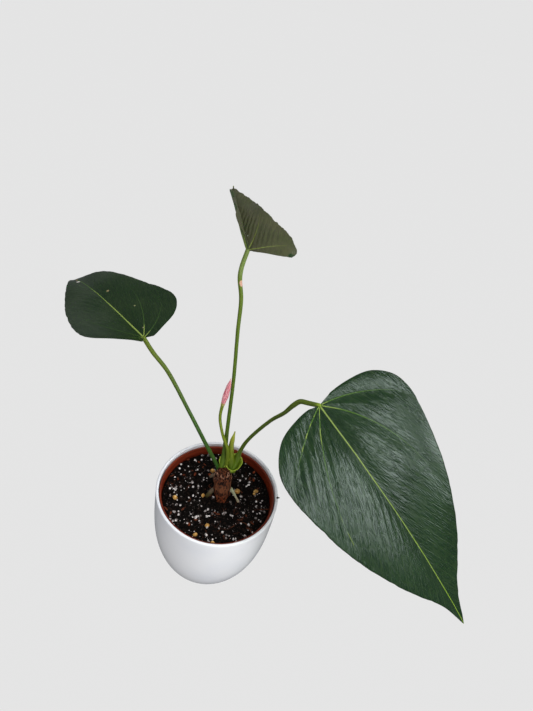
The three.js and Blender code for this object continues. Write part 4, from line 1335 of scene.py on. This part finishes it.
# %% Lines of the veins
def vein_lines(finish, blade, widen):
    """Shares of the midrib, the basal veins and the side veins, and the coordinates on the blade."""
    u, v, _ = finish.parts(finish.place("UV"))
    x = u * UV_SPAN + UV_START.x
    y = v * UV_SPAN + UV_START.y
    side = abs(y)
    reach = (x * x + y * y) ** 0.5
    turn = side.math("ARCTAN2", side, x)
    right = y.step(-0.001, 0.001)
    midrib = (side * blade.length - widen * (0.7 - 0.5 * x)).step(0.35, -0.15) * x.step(-0.004, 0.002)
    basal = 0
    for (start, slope, end), (start_left, slope_left, end_left) in zip(*blade.veins):
        a = math.radians(start_left) + math.radians(start - start_left) * right
        b = math.radians(slope_left) + math.radians(slope - slope_left) * right
        away = reach * abs(turn - a + b * reach) * blade.length
        end = max(end, end_left)
        fading = reach.step(end * 1.05, 0.08)
        line = (away - widen * (0.45 - 0.3 * reach / end)).step(0.4, -0.15) * fading
        basal = line.most(basal)
    drift = 0.03 * finish.noise(4.0, 3.0, at=finish.vector(x, y))
    skew = x - SIDE_VEIN_SLOPE * side + drift
    wave = skew * blade.pleats
    away = abs(wave.math("FRACT", wave) - 0.5)
    lateral = away.step(0.06, 0.0) * side.step(0.0, 0.02) * reach.step(0.06, 0.14)
    return midrib, basal, lateral, skew, x, y


# %% Leaf finishes
def leaf_finish(name, blade, look, upper=True):
    """Waxy blade: two greens in soft blotches, pale veins, fine net, small flecks, and listed spots, one a
    painted reflection.
    """
    skin = living(look.get("specular", 0.5), 0.05, 0.001, (0.3, 0.8, 0.1))
    finish = Finish(name, {"IOR": 1.45, **skin})
    midrib, basal, lateral, skew, x, y = vein_lines(finish, blade, 1.0 if upper else 1.7)
    flat = finish.vector(x, y)
    one_mm = 1 / blade.length
    patch = finish.noise(5.0, 4.0, at=flat)
    threads = finish.noise(1.0, 3.0, 0.6, at=finish.vector(skew / (9 * one_mm), y / (14 * one_mm)))
    striae = finish.noise(1.0, 2.0, 0.5, at=finish.vector(skew / (3.2 * one_mm), y / (12 * one_mm), 7.0))
    bent = finish.vector(skew / (6 * one_mm) + 0.5 * threads, y / (4.5 * one_mm) + 0.5 * striae)
    net = finish.cells(1.0, "DISTANCE_TO_EDGE", at=bent).step(0.0, 0.3)
    shade = finish.blend(look["dark"], look["light"], patch.step(0.35, 0.65))
    shade = finish.blend(shade, look["vein"], lateral * 0.12)
    shade = finish.blend(shade, look["vein"], net.step(0.4, 0.0) * 0.07)
    shade = finish.blend(shade, look["basal"], basal)
    shade = finish.blend(shade, look["midrib"], midrib)
    gloss = 0
    # Listed spots: on the top blade the dark green one is a painted reflection and the yellow-brown one is a
    # real mark. Both also lower the roughness.
    for (fx, fy), size, colour in look.get("painted_reflection_and_spots", ()):
        uneven = size * (finish.noise(28.0, 2.0, at=flat) - 0.5)
        near = finish.distance(flat, (fx, fy, 0)) * blade.length + uneven
        inside = near.step(size * 1.15, size * 0.75)
        gloss = inside.most(gloss)
        shade = finish.blend(shade, colour, inside)
    for (fx, fy), size, colour in look.get("flecks", ()):
        near = finish.distance(flat, (fx, fy, 0)) * blade.length + 0.8 * finish.noise(40.0, 2.0, at=flat)
        shade = finish.blend(shade, colour, near.step(size + 0.7, size * 0.5 + 0.4))
    height = 0.35 * threads + 0.22 * striae + 0.3 * net * look.get("net", 1.0) - 0.2 * lateral
    height = height + (midrib + basal) * (-0.5 if upper else 1.0)
    roughness = look["rough"] + 0.1 * striae + 0.1 * patch - 0.1 * gloss
    return finish.use(colour=shade, roughness=roughness, height=height, depth=0.0004, strength=0.8)


LOOKS = {
    "leaf_right": {"dark": rgb(15, 36, 17), "light": rgb(22, 44, 22), "vein": rgb(84, 106, 52),
                   "basal": rgb(70, 100, 34), "midrib": rgb(124, 154, 44), "rough": 0.14},
    "leaf_left": {"dark": rgb(20, 38, 18), "light": rgb(27, 43, 22), "vein": rgb(66, 86, 38),
                  "basal": rgb(48, 72, 28), "midrib": rgb(64, 90, 34), "rough": 0.2,
                  "flecks": (((0.464, 0.061), 1.4, rgb(140, 126, 88)),
                             ((0.226, 0.11), 0.9, rgb(110, 112, 74)),
                             ((0.056, 0.046), 0.8, rgb(128, 122, 92)),
                             ((0.76, -0.014), 2.2, rgb(240, 232, 222)),
                             ((0.842, 0.001), 1.3, rgb(190, 140, 60)))},
    "leaf_top": {"dark": rgb(70, 70, 48), "light": rgb(60, 64, 40), "vein": rgb(104, 114, 62),
                 "basal": rgb(122, 134, 60), "midrib": rgb(134, 150, 62), "rough": 0.28,
                 # Painted reflection: the dark green spot by the stalk. The yellow-brown spot is a real mark.
                 "painted_reflection_and_spots": (((-0.185, 0.351), 9, rgb(34, 52, 26)),
                             ((-0.17, 0.398), 3.5, rgb(150, 128, 58))),
                 "flecks": (((0.238, 0.026), 0.7, rgb(180, 186, 176)),
                            ((0.181, 0.041), 0.6, rgb(170, 176, 166)))},
}
UNDERSIDE = {"dark": rgb(62, 84, 44), "light": rgb(72, 92, 50), "vein": rgb(120, 134, 76),
             "basal": rgb(124, 138, 78), "midrib": rgb(136, 148, 84), "rough": 0.45,
             "net": 0.7, "specular": 0.3}
SLOTS = {"leaf_left": "old_leaf", "leaf_top": "young_leaf", "leaf_right": "old_leaf"}

# %% [markdown]
# ## Raised veins, and the blades put together
#
# Under the blade the main veins stand out as rounded ridges. They are thin tubes on the blade's own
# vein lines, sunk halfway into the underside. The blade's sheet gets its thickness from a Solidify
# modifier, which also gives the underside the second material.

# %% Ridges under a blade
MIDRIB_POINTS = 13
RIDGE_POINTS = 7
RIDGE_START = 0.012
MIDRIB_RADII = [1.5, 1.2, 0.9, 0.7, 0.35]
RIDGE_RADII = [0.95, 0.7, 0.5, 0.25]


def vein_ridges(blade):
    """Raised midrib and main veins under the blade."""
    under = LEAF_THICKNESS / 2 + 0.1

    def route(spots):
        return [blade.at(x, y) + blade.normal(x, y) * (blade.relief(x, y, 0.5) - under) for x, y in spots]

    midrib = [(0.004 + 0.93 * i / (MIDRIB_POINTS - 1), 0) for i in range(MIDRIB_POINTS)]
    ridges = [tube(route(midrib), MIDRIB_RADII, rows=90, columns=12)]
    for sign, veins in zip((1, -1), blade.veins):
        for start, slope, end in veins:
            spots = []
            for i in range(RIDGE_POINTS):
                reach = RIDGE_START + (end * 0.85 - RIDGE_START) * i / (RIDGE_POINTS - 1)
                angle = math.radians(start - slope * reach)
                spots.append((reach * math.cos(angle), sign * reach * math.sin(angle)))
            ridges.append(tube(route(spots), RIDGE_RADII, rows=50, columns=10))
    return joined(ridges)


ridge_finish = Finish("raised veins", {"Specular IOR Level": 0.4})
shade = ridge_finish.blend(rgb(104, 124, 54), rgb(134, 150, 70), ridge_finish.noise(140.0, 2.0))
raised_veins = ridge_finish.use(colour=shade, roughness=0.45)

# %% Blades
for name, blade in BLADES.items():
    leaf = link(leaf_mesh(blade), "fine_" + name)
    upper = leaf_finish(name + " upper side", blade, LOOKS[name])
    under = leaf_finish(name + " underside", blade, UNDERSIDE, upper=False)
    leaf.data.materials.append(upper)
    leaf.data.materials.append(under)
    sheet = leaf.modifiers.new("thickness", "SOLIDIFY")
    sheet.thickness = LEAF_THICKNESS * MM
    sheet.offset = 0.0
    sheet.material_offset = 1
    settle(leaf, upper, SLOTS[name], name)
    settle(link(vein_ridges(blade), name + "_ridges"), raised_veins, SLOTS[name])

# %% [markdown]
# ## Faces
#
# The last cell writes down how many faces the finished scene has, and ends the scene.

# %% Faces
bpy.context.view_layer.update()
shown = [o for o in bpy.data.objects if o.type == "MESH" and not o.hide_render]
print("faces in all:", sum(len(o.data.polygons) for o in shown))
